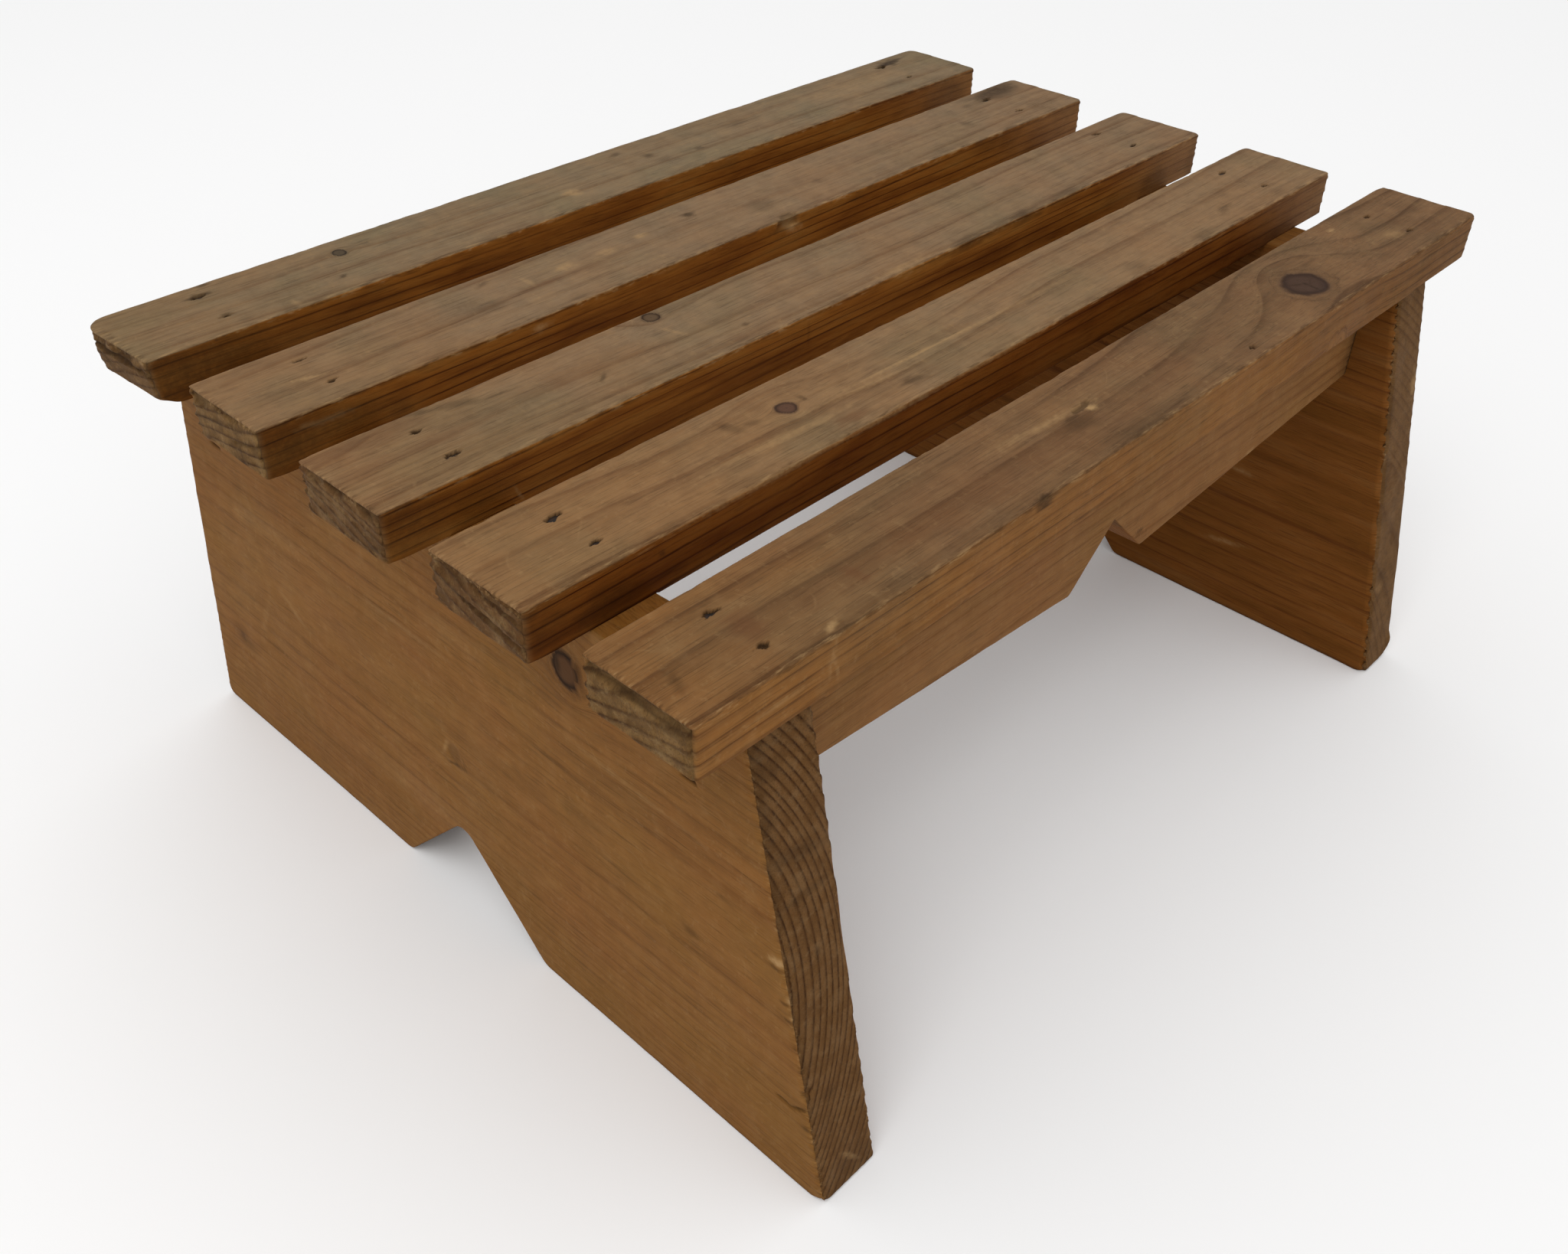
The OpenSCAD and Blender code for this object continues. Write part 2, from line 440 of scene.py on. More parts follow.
        layers += [
            (arris, "crumbs", ((0.36, 0.6), (0.48, 0.0)), self.arris_shade, "MIX"),
            (arris, "crumbs", ((0.54, 0.0), (0.66, 0.5)), self.fresh, "MIX"),
            (knot, "", (), bark, "MIX"),
            (redness, "", (), self.red, "MIX"),
            (dirt, "specks", ((0.4, 0.3), (0.6, 1.0)), self.grime_and_shade, "MIX"),
            (fresh, "specks", ((0.3, 0.35), (0.55, 1.0)), self.fresh, "MIX"),
            # Dirt and rust from the marks, and painted shade where the marks stand for it.
            (grime_and_shade, "specks", ((0.25, 0.7), (0.6, 1.0)), self.grime_and_shade, "MIX"),
        ]
        for share, name, stops, paint, blend in layers:
            if name:
                level = node("ValToRGB", {0: pattern[name]}, stops=stops)
                share = node("Math", {0: share, 1: level}, **MULTIPLY)
            colour = node("Mix", {0: share, 6: colour, 7: paint}, blend_type=blend, **COLOURS)
        height = node("Math", {0: lateness, 1: 0.35, 2: pattern["fibres"]}, **MULTIPLY_ADD)
        height = node("Math", {0: pattern["specks"], 1: 0.25, 2: height}, **MULTIPLY_ADD)
        bump = node("Bump", {"Strength": 0.55, "Distance": 0.00022, "Height": height})
        spread = {"From Min": 0.3, "From Max": 0.7, "To Min": 0.55, "To Max": 0.75}
        roughness = node("MapRange", {"Value": pattern["patches"], **spread})
        wax = {"IOR": 1.5, "Specular IOR Level": 0.04}
        skin = {"Base Color": colour, "Roughness": roughness, "Normal": bump}
        node("OutputMaterial", {"Surface": node("BsdfPrincipled", {**wax, **skin})})
        return made

    def rings(
        self, node: partial, count: Socket, deep: Socket, pattern: dict[str, Socket]
    ) -> tuple[Socket, ...]:
        """Draws the growth rings, soft on rubbed faces and crisp on sheltered ones.

        Args:
            node: add_node for the material's tree.
            count: The count of rings.
            deep: How deep in colour the face is: amber it kept, and painted shade between the parts.
            pattern: The patterns.

        Returns:
            How late the wood is in its ring, the same for sawn ends, and how strongly the rings
            show on the faces and on the ends.
        """
        ring = node("Math", {0: count}, operation="FRACT")
        soft = self.ring_softness
        shapes = (
            (
                (0.0, 0.9), (0.03, 0.1 + 0.3 * soft), (0.25, 0.0), (0.7 - 0.25 * soft, 0.1),
                (0.9 - 0.1 * soft, 0.4), (0.98 - 0.03 * soft, 1.0),
            ),
            ((0.0, 0.9), (0.03, 0.15), (0.12, 0.0), (0.78, 0.06), (0.88, 0.35), (0.92, 1.0)),
            ((0.0, 1.0), (0.06, 0.4), (0.18, 0.0), (0.6, 0.06), (0.78, 0.5), (0.9, 1.0)),
        )
        rubbed, crisp, end_line = (node("ValToRGB", {0: ring}, stops=shape) for shape in shapes)
        lateness = node("Mix", {0: deep, 6: rubbed, 7: crisp}, **COLOURS)
        fade = node("ValToRGB", {0: pattern["fades"]}, stops=((0.36, 0.35), (0.54, 1.0)))
        lateness = node("Math", {0: lateness, 1: fade}, **MULTIPLY)
        uneven = node("Math", {0: pattern["streaks"], 1: 0.9, 2: 0.35}, **MULTIPLY_ADD)
        uneven = node("Math", {0: uneven, 1: deep}, **MAXIMUM)
        band = node("Math", {0: lateness, 1: uneven}, **MULTIPLY)
        band = node("Math", {0: band, 1: self.ring_strength}, **MULTIPLY)
        worn = node("ValToRGB", {0: pattern["patches"]}, stops=((0.35, self.end_contrast), (0.6, 1.0)))
        return lateness, end_line, band, node("Math", {0: end_line, 1: worn}, **MULTIPLY)


@dataclass(frozen=True)
class NailFinish:
    """Drawn steel wire, long in the air: nearly black iron scale with brown rust in patches."""

    name: str = "tarnished_wire_nail"
    scale: str = "1d1814"
    rust: str = "35241a"
    patch_size: float = 1.4

    def material(self) -> bpy.types.Material:
        """Builds the finish as a material.

        Returns:
            The material.
        """
        made, node = start_material(self.name)
        place = node("TexCoord", output="Object")
        inputs = {"Vector": place, "Scale": MM_PER_M / self.patch_size, "Detail": 4.0, "Roughness": 0.6}
        patches = node("TexNoise", inputs)
        colour = node("ValToRGB", {0: patches}, stops=((0.42, self.scale), (0.62, self.rust)))
        bump = node("Bump", {"Strength": 0.4, "Distance": 0.0001, "Height": patches})
        skin = {"Metallic": 0.6, "Roughness": 0.6, "Base Color": colour, "Normal": bump}
        node("OutputMaterial", {"Surface": node("BsdfPrincipled", skin)})
        return made


@dataclass(frozen=True)
class Knot:
    """A branch that the saw cut across.

    Attributes:
        along: Its middle, along the face from the face's start.
        across: Its middle, across the face.
        long: Half its length along the grain.
        wide: Half its width.
        lean_along: How far it drifts along the grain for each millimetre of depth.
        lean_across: How far it drifts across the grain for each millimetre of depth.
        parting: How far it parts the grain, in its own half widths.
        collar: Where the ring lies that closes round it, in its own half widths, or 0 for none.
    """

    along: float
    across: float
    long: float
    wide: float
    lean_along: float = 0.0
    lean_across: float = 0.0
    parting: float = 1.15
    collar: float = 0.0

    def reach(self, face: Array) -> Array:
        """Measures places from the knot.

        Args:
            face: Places on the timber.

        Returns:
            How many half widths each place lies from the knot's middle.
        """
        along = (face[:, 0] - self.along - self.lean_along * face[:, 2]) / self.long
        across = (face[:, 1] - self.across - self.lean_across * face[:, 2]) / self.wide
        return np.hypot(along, across)

    def part_grain(self, face: Array) -> Array:
        """Moves places so that rings flow round the knot.

        Args:
            face: Places on the timber.

        Returns:
            The places with their across values moved.
        """
        reach = np.maximum(self.reach(face), self.parting)
        middle = self.across + self.lean_across * face[:, 2]
        moved = face.copy()
        moved[:, 1] = middle + (face[:, 1] - middle) * (1.0 - (self.parting / reach) ** 2)
        return moved


@dataclass(frozen=True)
class Mark:
    """One mark of use on a face.

    Attributes:
        kind: What it does to the wood.
        along: Its middle, along the face.
        across: Its middle, across the face.
        long: Half its length.
        wide: Half its width.
        strength: Its share of the full effect, or the depth of a dent or pit.
        turn: Its angle to the grain, in degrees.
        ragged: How far its rim wanders, as a share of its size.
    """

    kind: Blemish
    along: float
    across: float
    long: float
    wide: float
    strength: float
    turn: float = 0.0
    ragged: float = 0.35

    SHOW_DEPTH: ClassVar[float] = 4.0

    def amount(self, face: Array, noise: Noise) -> Array:
        """Works out the mark's effect.

        Args:
            face: Places on the timber: along, across and down from the face.
            noise: The field that makes its rim ragged.

        Returns:
            The effect at each place, from 0 to the mark's strength.
        """
        angle = math.radians(self.turn)
        along = face[:, 0] - self.along
        across = face[:, 1] - self.across
        lengthwise = np.abs(along * math.cos(angle) + across * math.sin(angle)) / self.long
        sideways = np.abs(across * math.cos(angle) - along * math.sin(angle)) / self.wide
        power = 1.3 if self.kind is Blemish.PIT else 2.0
        reach = (lengthwise**power + sideways**power) ** (1.0 / power)
        near = (reach < 2.5) & (face[:, 2] < self.SHOW_DEPTH)
        effect = np.zeros(len(face))
        size = min(self.long, self.wide)
        rim = noise.at(face[near], (size * 1.4, size * 0.6, size))
        soft = 0.35 if self.kind in (Blemish.DENT, Blemish.PIT) else 0.75
        effect[near] = 1.0 - smoothstep(1.0 - soft, 1.0 + soft, reach[near] * (1.0 + self.ragged * rim))
        return effect * self.strength


def strongest(marks: tuple[Mark, ...], kind: Blemish, face: Array, noise: Noise) -> Array:
    """Works out the strongest mark of a kind at each place.

    Args:
        marks: The marks of one face.
        kind: The kind of mark that counts.
        face: Places on the timber: along, across and down from that face.
        noise: The field that makes the marks' rims ragged.

    Returns:
        The strongest effect at each place, 0 where there is none.
    """
    total = np.zeros(len(face))
    for mark in marks:
        if mark.kind is kind:
            total = np.maximum(total, mark.amount(face, noise))
    return total


@dataclass(frozen=True)
class TracedRings:
    """Growth rings of a flat-sawn slat, told by the lines that show on its top.

    Attributes:
        lines: The lines from back to front, each a few points along and across the top.
        depths: How far below the top the next rings' rims lie.
        layers_rise: 1 if the layers rise towards the front, and -1 if they fall.
        outward: 1 if the tree's bark lay to the front of the top, and -1 if to the back.
        line_step: Distance to the next ring beyond the outer lines.
    """

    lines: tuple[tuple[Point, ...], ...]
    depths: tuple[float, ...] = (3.7, 7.4, 11.1, 14.8, 18.5)
    layers_rise: int = 1
    outward: int = 1
    line_step: float = 17.0

    def count(self, face: Array, noise: Noise) -> Array:
        """Counts the rings.

        Args:
            face: Places on the timber: along, across and down from the face.
            noise: The field that makes the rings wander.

        Returns:
            The ring that each place is in, and how far out in it, as one number.
        """
        along = face[:, 0]
        across = face[:, 1] + 0.5 * noise.at(face, (26.0, 14.0, 9.0))
        places = [smooth_curve(line, along) for line in self.lines]
        places = [places[0] - self.line_step, *places, places[-1] + self.line_step]
        across = np.clip(across, places[0] - 60.0, places[-1] + 60.0)
        top = (across - places[0]) / self.line_step - 1.0
        for number, (back, front) in enumerate(zip(places, places[1:])):
            inside = across >= back
            share = (across - back) / np.maximum(front - back, 2.0)
            limit = share if number == len(places) - 2 else np.minimum(share, 1.0)
            top = np.where(inside, number - 1.0 + limit, top)
        depth = face[:, 2] + 0.5 * noise.at(face, (160.0, 30.0, 5.0), 3.1)
        depth += 0.7 * noise.at(face, (90.0, 40.0, 9.0), 7.7)
        rims = (-self.depths[0], 0.0, *self.depths, 2.0 * self.depths[-1])
        down = np.interp(depth, rims, np.arange(-1.0, len(rims) - 1.0))
        return self.outward * (top + self.layers_rise * down)


@dataclass(frozen=True)
class RoundRings:
    """Growth rings of a board or apron, told by where the heart of the tree lay.

    Attributes:
        heart_across: The heart's place across the face.
        heart_depth: The heart's place down from the face, below zero in front of it.
        seen: The rims of the rings that show, by their distance from the heart.
        ring_width: The usual width of the other rings.
        unevenness: How much their widths differ, as a share.
        wander: How far the rings wander along the board.
        seed: Chooses the widths.
    """

    heart_across: float
    heart_depth: float
    seen: tuple[float, ...] = ()
    ring_width: float = 2.7
    unevenness: float = 0.35
    wander: float = 0.8
    seed: int = 1

    RINGS: ClassVar[int] = 120

    def rims(self) -> Array:
        """Spaces the rings.

        Returns:
            The distance of each ring's rim from the heart, from the heart outwards.
        """
        spread = np.random.default_rng(self.seed).uniform(-1.0, 1.0, (2, self.RINGS))
        widths = self.ring_width * (1.0 + self.unevenness * spread)
        if not self.seen:
            return np.cumsum(widths[0])
        inner = self.seen[0] - np.cumsum(widths[0])[::-1]
        return np.concatenate([inner, self.seen, self.seen[-1] + np.cumsum(widths[1])])

    def count(self, face: Array, noise: Noise) -> Array:
        """Counts the rings.

        Args:
            face: Places on the timber.
            noise: The field that makes the rings wander.

        Returns:
            The ring that each place is in, and how far out in it, as one number.
        """
        rims = self.rims()
        out = np.hypot(face[:, 1] - self.heart_across, face[:, 2] - self.heart_depth)
        out += self.wander * noise.at(face, (150.0, 80.0, 60.0))
        out += 0.3 * self.wander * noise.at(face, (38.0, 22.0, 20.0), 4.3)
        return np.interp(out, rims, np.arange(len(rims), dtype=float))


@dataclass
class Timber:
    """One sawn piece of pine in the place of its CAD node.

    Its methods take points, which are places in the frame, and face, the same places measured along,
    across and down from the show face.

    Attributes:
        node: The CAD node that it stands for.
        slot: A material slot's name, which is not used.
        rings: The growth rings in it.
        finish: Its finish.
        seed: Chooses its wear.
        knots: The knots in it.
        marks: The marks on its show face.
        arris: Usual rounding of its arrises.
    """

    node: str
    slot: str
    rings: TracedRings | RoundRings
    finish: PineFinish
    seed: int
    knots: tuple[Knot, ...] = ()
    marks: tuple[Mark, ...] = ()
    arris: float = 1.6

    ALONG: ClassVar[Axis] = Axis.X
    ACROSS: ClassVar[Axis] = Axis.Y
    THICK: ClassVar[Axis] = Axis.Z
    OPEN_ENDS: ClassVar[bool] = False
    # How far sharp, open ends reach out of the rounding.
    OPEN_MARGIN: ClassVar[float] = 50.0
    # How far the closer cuts reach beyond a knot, and the distance between them.
    KNOT_MARGIN: ClassVar[float] = 1.5
    KNOT_PITCH: ClassVar[float] = 0.65

    def __post_init__(self) -> None:
        """Takes the piece's box from the frame."""
        low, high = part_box(self.node)
        self.low = np.array(low) * MM_PER_M
        self.high = np.array(high) * MM_PER_M
        self.noise = Noise(self.seed)

    def cuts(self) -> dict[Axis, Array]:
        """Returns the places of the cuts along each axis."""
        raise NotImplementedError

    def face_places(self, points: Array) -> Array:
        """Returns each point's place along, across and down from the show face."""
        raise NotImplementedError

    def outline(self, points: Array) -> Array:
        """Returns the block's points after its outline is cut."""
        return points

    def corner_radius(self, points: Array) -> Array:
        """Returns the rounding of the outline's corners at each point."""
        raise NotImplementedError

    def arris_radius(self, points: Array) -> Array:
        """Wears the arrises unevenly.

        Args:
            points: Places in the frame.

        Returns:
            The rounding of the arrises at each point.
        """
        worn = 0.3 * self.noise.at(points, (40.0, 40.0, 40.0))
        worn += 0.25 * self.noise.at(points, (6.0, 6.0, 6.0), 2.2)
        return self.arris * (1.0 + worn)

    def fine_spots(self, axis: int, start: float, sign: float) -> tuple[Triple, ...]:
        """Returns where the cuts come closer together for the knots.

        Args:
            axis: 0 along the face and 1 across it.
            start: Where the face's own measure starts on the frame's axis.
            sign: Whether the two run the same way (1) or not (-1).

        Returns:
            A middle, a reach and a distance between cuts for each knot.
        """
        spots = []
        for knot in self.knots:
            middle, half = ((knot.along, knot.long), (knot.across, knot.wide))[axis]
            spots.append((start + sign * middle, half + self.KNOT_MARGIN, self.KNOT_PITCH))
        return tuple(spots)

    def cover(self, points: Array, normals: Array) -> Array:
        """Returns how dull, how deep in colour and how much end grain each point is."""
        raise NotImplementedError

    def relief(self, face: Array, points: Array, normals: Array, late: Array) -> Array:
        """Returns how far each point is worn down."""
        raise NotImplementedError

    def block(self, cuts: dict[Axis, Array]) -> bpy.types.Mesh:
        """Makes a closed block of small cells.

        Args:
            cuts: The places of the cuts along each axis.

        Returns:
            The block's mesh, one unit on each side.
        """
        block = bmesh.new()
        bmesh.ops.create_cube(block, size=1.0)
        for axis in (self.THICK, self.ACROSS, self.ALONG):
            edges = [edge for edge in block.edges if self.runs_along(edge, axis)]
            bmesh.ops.subdivide_edges(block, edges=edges, cuts=len(cuts[axis]) - 2)
        mesh = bpy.data.meshes.new(self.node + "_pine")
        block.to_mesh(mesh)
        block.free()
        return mesh

    @staticmethod
    def runs_along(edge: bmesh.types.BMEdge, axis: Axis) -> bool:
        """Tells if an edge of the block runs along an axis."""
        run = edge.verts[1].co - edge.verts[0].co
        return abs(run[axis.value]) > 0.999 * run.length

    @staticmethod
    def vectors_of(data: bpy.types.bpy_prop_collection, name: str) -> Array:
        """Reads one vector of each point of a mesh.

        Args:
            data: The mesh's vertices or normals.
            name: What the vector is called there.

        Returns:
            The vectors, one row each.
        """
        values = np.zeros(len(data) * 3)
        data.foreach_get(name, values)
        return values.reshape(-1, 3)

    @staticmethod
    def put_points(mesh: bpy.types.Mesh, points: Array) -> None:
        """Moves the mesh's points, given in millimetres, to their places."""
        mesh.vertices.foreach_set("co", (points / MM_PER_M).ravel())
        mesh.update()

    def spaced(self, points: Array, cuts: dict[Axis, Array]) -> Array:
        """Moves the unit block's cuts to their places.

        Args:
            points: The unit block's points.
            cuts: The places of the cuts along each axis.

        Returns:
            The block's points, in millimetres.
        """
        placed = np.empty_like(points)
        for axis in Axis:
            places = cuts[axis]
            number = (points[:, axis.value] + 0.5) * (len(places) - 1)
            placed[:, axis.value] = np.interp(number, np.arange(len(places)), places)
        return placed

    def rounded(self, points: Array, low: Array, high: Array) -> Array:
        """Rounds the corners of the outline and then the arrises.

        Args:
            points: The block's points.
            low: The block's lowest corner.
            high: The block's highest corner.

        Returns:
            The moved points.
        """
        plane = [self.ALONG.value, self.ACROSS.value]
        thick = self.THICK.value
        margin = np.array([self.OPEN_MARGIN if self.OPEN_ENDS else 0.0, 0.0])
        first, last = low[plane] - margin, high[plane] + margin
        corner = self.corner_radius(points)[:, None]
        flat = points[:, plane]
        core = np.clip(flat, first + corner, last - corner)
        out = flat - core
        reach = np.abs(out).max(axis=1)
        length = np.maximum(np.hypot(out[:, 0], out[:, 1]), TINY)
        way = out / length[:, None]
        moved = points.copy()
        arris = np.minimum(self.arris_radius(points), corner[:, 0])
        proud = arris - (corner[:, 0] - reach)
        middle = (low[thick] + high[thick]) / 2.0
        side = np.sign(points[:, thick] - middle)
        rise = arris - ((high[thick] - low[thick]) / 2.0 - np.abs(points[:, thick] - middle))
        both = (proud > 0.0) & (rise > 0.0) & (length > 1e-6)
        shrink = np.where(both, arris / np.maximum(np.hypot(proud, rise), TINY), 1.0) - 1.0
        moved[:, plane] = core + way * (reach + np.where(both, proud * shrink, 0.0))[:, None]
        moved[:, thick] += side * np.where(both, rise * shrink, 0.0)
        return moved

    def marked(self, face: Array, kind: Blemish) -> Array:
        """Returns the strongest mark of a kind at each place."""
        return strongest(self.marks, kind, face, self.noise)

    @staticmethod
    def lateness(ring: Array) -> Array:
        """Returns how hard the wood is: 0 in the spring wood and 1 at a ring's outer rim."""
        part = ring - np.floor(ring)
        return np.maximum(smoothstep(0.5, 0.95, part), 1.0 - smoothstep(0.0, 0.06, part))

    def build(self) -> bpy.types.Object:
        """Builds the timber.

        Returns:
            The finished object, which rides on the frame and stands for its node.
        """
        cuts = self.cuts()
        mesh = self.block(cuts)
        low = np.array([cuts[axis][0] for axis in Axis])
        high = np.array([cuts[axis][-1] for axis in Axis])
        points = self.spaced(self.vectors_of(mesh.vertices, "co"), cuts)
        points = self.outline(self.rounded(points, low, high))
        self.put_points(mesh, points)
        normals = self.vectors_of(mesh.vertex_normals, "vector")
        face = self.face_places(points)
        bent = face
        for knot in self.knots:
            bent = knot.part_grain(bent)
        ring = self.rings.count(bent, self.noise)
        late = self.lateness(ring)
        worn = self.relief(face, points, normals, late)
        worn += self.marked(face, Blemish.DENT) + self.marked(face, Blemish.PIT)
        self.put_points(mesh, points - normals * worn[:, None])
        self.record_looks(mesh, face, bent, points, normals, ring)
        mesh.polygons.foreach_set("use_smooth", [True] * len(mesh.polygons))
        mesh.materials.append(self.finish.material())
        piece = bpy.data.objects.new(self.node + "_pine", mesh)
        bpy.context.scene.collection.objects.link(piece)
        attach(piece, "root")
        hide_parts(self.node)
        LOG.info("%s: %d faces", piece.name, len(mesh.polygons))
        return piece

    def record_looks(
        self, mesh: bpy.types.Mesh, face: Array, bent: Array, points: Array, normals: Array, ring: Array
    ) -> None:
        """Writes what the finish reads into the mesh's attributes.

        Args:
            mesh: The timber's mesh.
            face: Places on the timber.
            bent: The same places with the grain parted round the knots.
            points: Places in the frame.
            normals: The surface's normals.
            ring: The count of rings.
        """
        knot = np.zeros(len(face))
        for each in self.knots:
            reach = each.reach(face) * (1.0 + 0.1 * self.noise.at(face, (3.0, 3.0, 9.0), 1.1))
            inside = 1.0 - smoothstep(0.8, 1.2, reach)
            round_it = (reach >= 1.0) & (reach < each.collar)
            ring = np.where(round_it, 0.25 + 0.74 * (reach - 1.0) / max(each.collar - 1.0, TINY), ring)
            ring = np.where(reach < 1.0, reach * 1.08, ring)
            knot = np.maximum(knot, inside)
        grain = np.stack([face[:, 0], ring * 3.0, bent[:, 1]], axis=1)
        self.put_values(mesh, "ring", ring)
        self.put_values(mesh, "redness", self.marked(face, Blemish.RED))
        self.put_values(mesh, "arris", self.arris_share(points))
        self.put_values(mesh, "grain", grain)
        self.put_values(mesh, "cover", self.cover(points, normals))
        self.put_values(mesh, "flaws", np.stack([knot, *self.dirt(face, points, normals)], axis=1))

    def arris_share(self, points: Array) -> Array:
        """Returns how near each point is to an arris that has chipped, from 0 to 1."""
        return np.zeros(len(points))

    def dirt(self, face: Array, points: Array, normals: Array) -> tuple[Array, Array]:
        """Turns the marks into dirt, painted shade in the dents, and fresh wood.

        Args:
            face: Places on the timber.
            points: Places in the frame.
            normals: The surface's normals.

        Returns:
            How dark, from dirt and painted shade, and how freshly rubbed each point is, from 0 to 1.
        """
        pits = smoothstep(0.2, 0.9, self.marked(face, Blemish.PIT))
        # Dents darken at half strength: painted shade in their hollows.
        dents = 0.5 * smoothstep(0.1, 0.6, self.marked(face, Blemish.DENT))
        grime_and_shade = np.maximum(np.maximum(self.marked(face, Blemish.STAIN), pits), dents)
        return grime_and_shade, self.marked(face, Blemish.PALE)

    @staticmethod
    def put_values(mesh: bpy.types.Mesh, name: str, values: Array) -> None:
        """Adds an attribute with one number or three for each point.

        Args:
            mesh: The mesh.
            name: The attribute's name.
            values: The numbers, one row for each point.
        """
        kind, field = ("FLOAT", "value") if values.ndim == 1 else ("FLOAT_VECTOR", "vector")
        attribute = mesh.attributes.new(name, kind, "POINT")
        attribute.data.foreach_set(field, values.astype(np.float32).ravel())


@dataclass
class Slat(Timber):
    """A planed batten of the seat, worn on top and broken at its sawn ends.

    Attributes:
        dull_left: How dull its left end is.
        dull_right: How dull the rest is.
        gold_reach: How far the golden left end reaches.
        shelter: How deep in colour its front face is: amber it kept, and painted shade of the gap before it.
        end_marks: The marks on its left end, from the back edge and down from the top; a stain in the place
            of a dent is painted shade in that crack.
        holes: How open the nail holes are: left back, left front, right back and right front.
        left_reach: How far its rough left end stands out beyond the CAD's plain one.
        right_reach: The same at its right end.
        corners: Rounding of its corners: left back, left front, right back and right front.
        front_marks: The marks on its front face, from the left end and down from the top; a broad stain at
            the left end of the first four slats is painted shade.
        right_dust: How far the right end of its front face has gone dull.
        sag: How far its lower front arris hangs between the boards.
        tuck: How far the lower side of its left end is drawn in.
        under: How far the same side is worn up.
        skew: How much further its left end stands out at the back than at the front.
        arris: Usual rounding of its arrises.
    """

    dull_left: float = 0.35
    dull_right: float = 0.9
    gold_reach: float = 150.0
    shelter: float = 1.0
    end_marks: tuple[Mark, ...] = ()
    holes: tuple[float, ...] = (0.6, 0.6, 0.6, 0.6)
    left_reach: float = 2.0
    right_reach: float = 1.5
    corners: tuple[float, ...] = (1.6, 1.8, 3.0, 2.0)
    front_marks: tuple[Mark, ...] = ()
    right_dust: float = 0.3
    sag: float = 0.5
    tuck: float = 0.5
    under: float = 0.35
    skew: float = 0.0
    arris: float = 0.8

    # Rounding away from the corners, which leaves room for the arrises.
    CORNER: ClassVar[float] = 4.5
    # Usual distance between the cuts along the slat.
    PITCH: ClassVar[float] = 1.1
    # Where the hanging arris begins, a little over the boards' inner faces.
    SAG_HALF: ClassVar[float] = 187.4

    def cuts(self) -> dict[Axis, Array]:
        """Cuts more closely at the arrises, the ends, the nails and the knots.

        Returns:
            The places along each axis.
        """
        low, high = self.low, self.high
        left, right = low[0] - self.left_reach, high[0] + self.right_reach
        ends = ((left, 5.0, 0.45), (right, 5.0, 0.5))
        nails = self.nail_places()
        along = tuple((place, 3.5, 0.5) for place in sorted({round(nail[0], 1) for nail in nails}))
        across = tuple((place, 2.0, 0.5) for place in sorted({round(nail[1], 1) for nail in nails}))
        backs = ((low[1], 1.6, 0.4), (high[1], 1.6, 0.5))
        tops = ((low[2], 1.0, 0.5), (high[2], 1.8, 0.4))
        return {
            Axis.X: graded(left, right, self.PITCH, ends + along + self.fine_spots(0, low[0], 1.0)),
            Axis.Y: graded(low[1], high[1], 0.95, backs + across + self.fine_spots(1, high[1], -1.0)),
            Axis.Z: graded(low[2], high[2], 0.9, tops),
        }

    def nail_places(self) -> list[Point]:
        """Finds the middles of the nails' heads.

        Returns:
            The heads' places along and across the frame, the left ones first and back before front.
        """
        heads = []
        for side in ("left", "right"):
            low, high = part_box(f"{self.node}_{side}_nails")
            middle = (low.x + high.x) / 2.0 * MM_PER_M
            for across in (high.y * MM_PER_M - NAIL_HALF, low.y * MM_PER_M + NAIL_HALF):
                heads.append((middle, across))
        return heads

    def face_places(self, points: Array) -> Array:
        """Returns places from the left end, from the back edge and down from the top."""
        along = points[:, 0] - self.low[0]
        return np.stack([along, self.high[1] - points[:, 1], self.high[2] - points[:, 2]], axis=1)

    def corner_radius(self, points: Array) -> Array:
        """Gives each corner its own rounding, and room for the arrises away from the corners.

        Args:
            points: Places in the frame.

        Returns:
            The rounding of the outline's corners at each point.
        """
        right = points[:, 0] > 0.0
        front = points[:, 1] < (self.low[1] + self.high[1]) / 2.0
        own = np.array(self.corners)[2 * right + front]
        room = np.maximum(6.0, 1.2 * own)
        away = smoothstep(0.0, 6.0, np.maximum(self.to_end(points), self.to_side(points)) - room)
        return own + (self.CORNER - own) * away

    def to_end(self, points: Array) -> Array:
        """Returns the distance from the nearer end."""
        left = points[:, 0] - self.low[0] + self.left_reach
        return np.minimum(left, self.high[0] + self.right_reach - points[:, 0])

    def to_side(self, points: Array) -> Array:
        """Returns the distance from the nearer long face."""
        return np.minimum(points[:, 1] - self.low[1], self.high[1] - points[:, 1])

    def outline(self, points: Array) -> Array:
        """Lets the swollen lower front arris hang between the boards, and tucks in the left end.

        Args:
            points: Places in the frame.

        Returns:
            The moved points.
        """
        middle = smoothstep(0.0, 1.6, self.SAG_HALF - np.abs(points[:, 0]))
        front = 1.0 - smoothstep(1.0, 5.0, points[:, 1] - self.low[1])
        below = (self.high[2] - points[:, 2]) / (self.high[2] - self.low[2])
        moved = points.copy()
        moved[:, 2] -= self.sag * middle * front * below
        end = 1.0 - smoothstep(0.0, 14.0, points[:, 0] - self.low[0] + self.left_reach)
        back = (points[:, 1] - self.low[1]) / (self.high[1] - self.low[1])
        moved[:, 0] += end * (self.tuck * below**2 - self.skew * back)
        moved[:, 2] += self.under * end**2 * below
        return moved

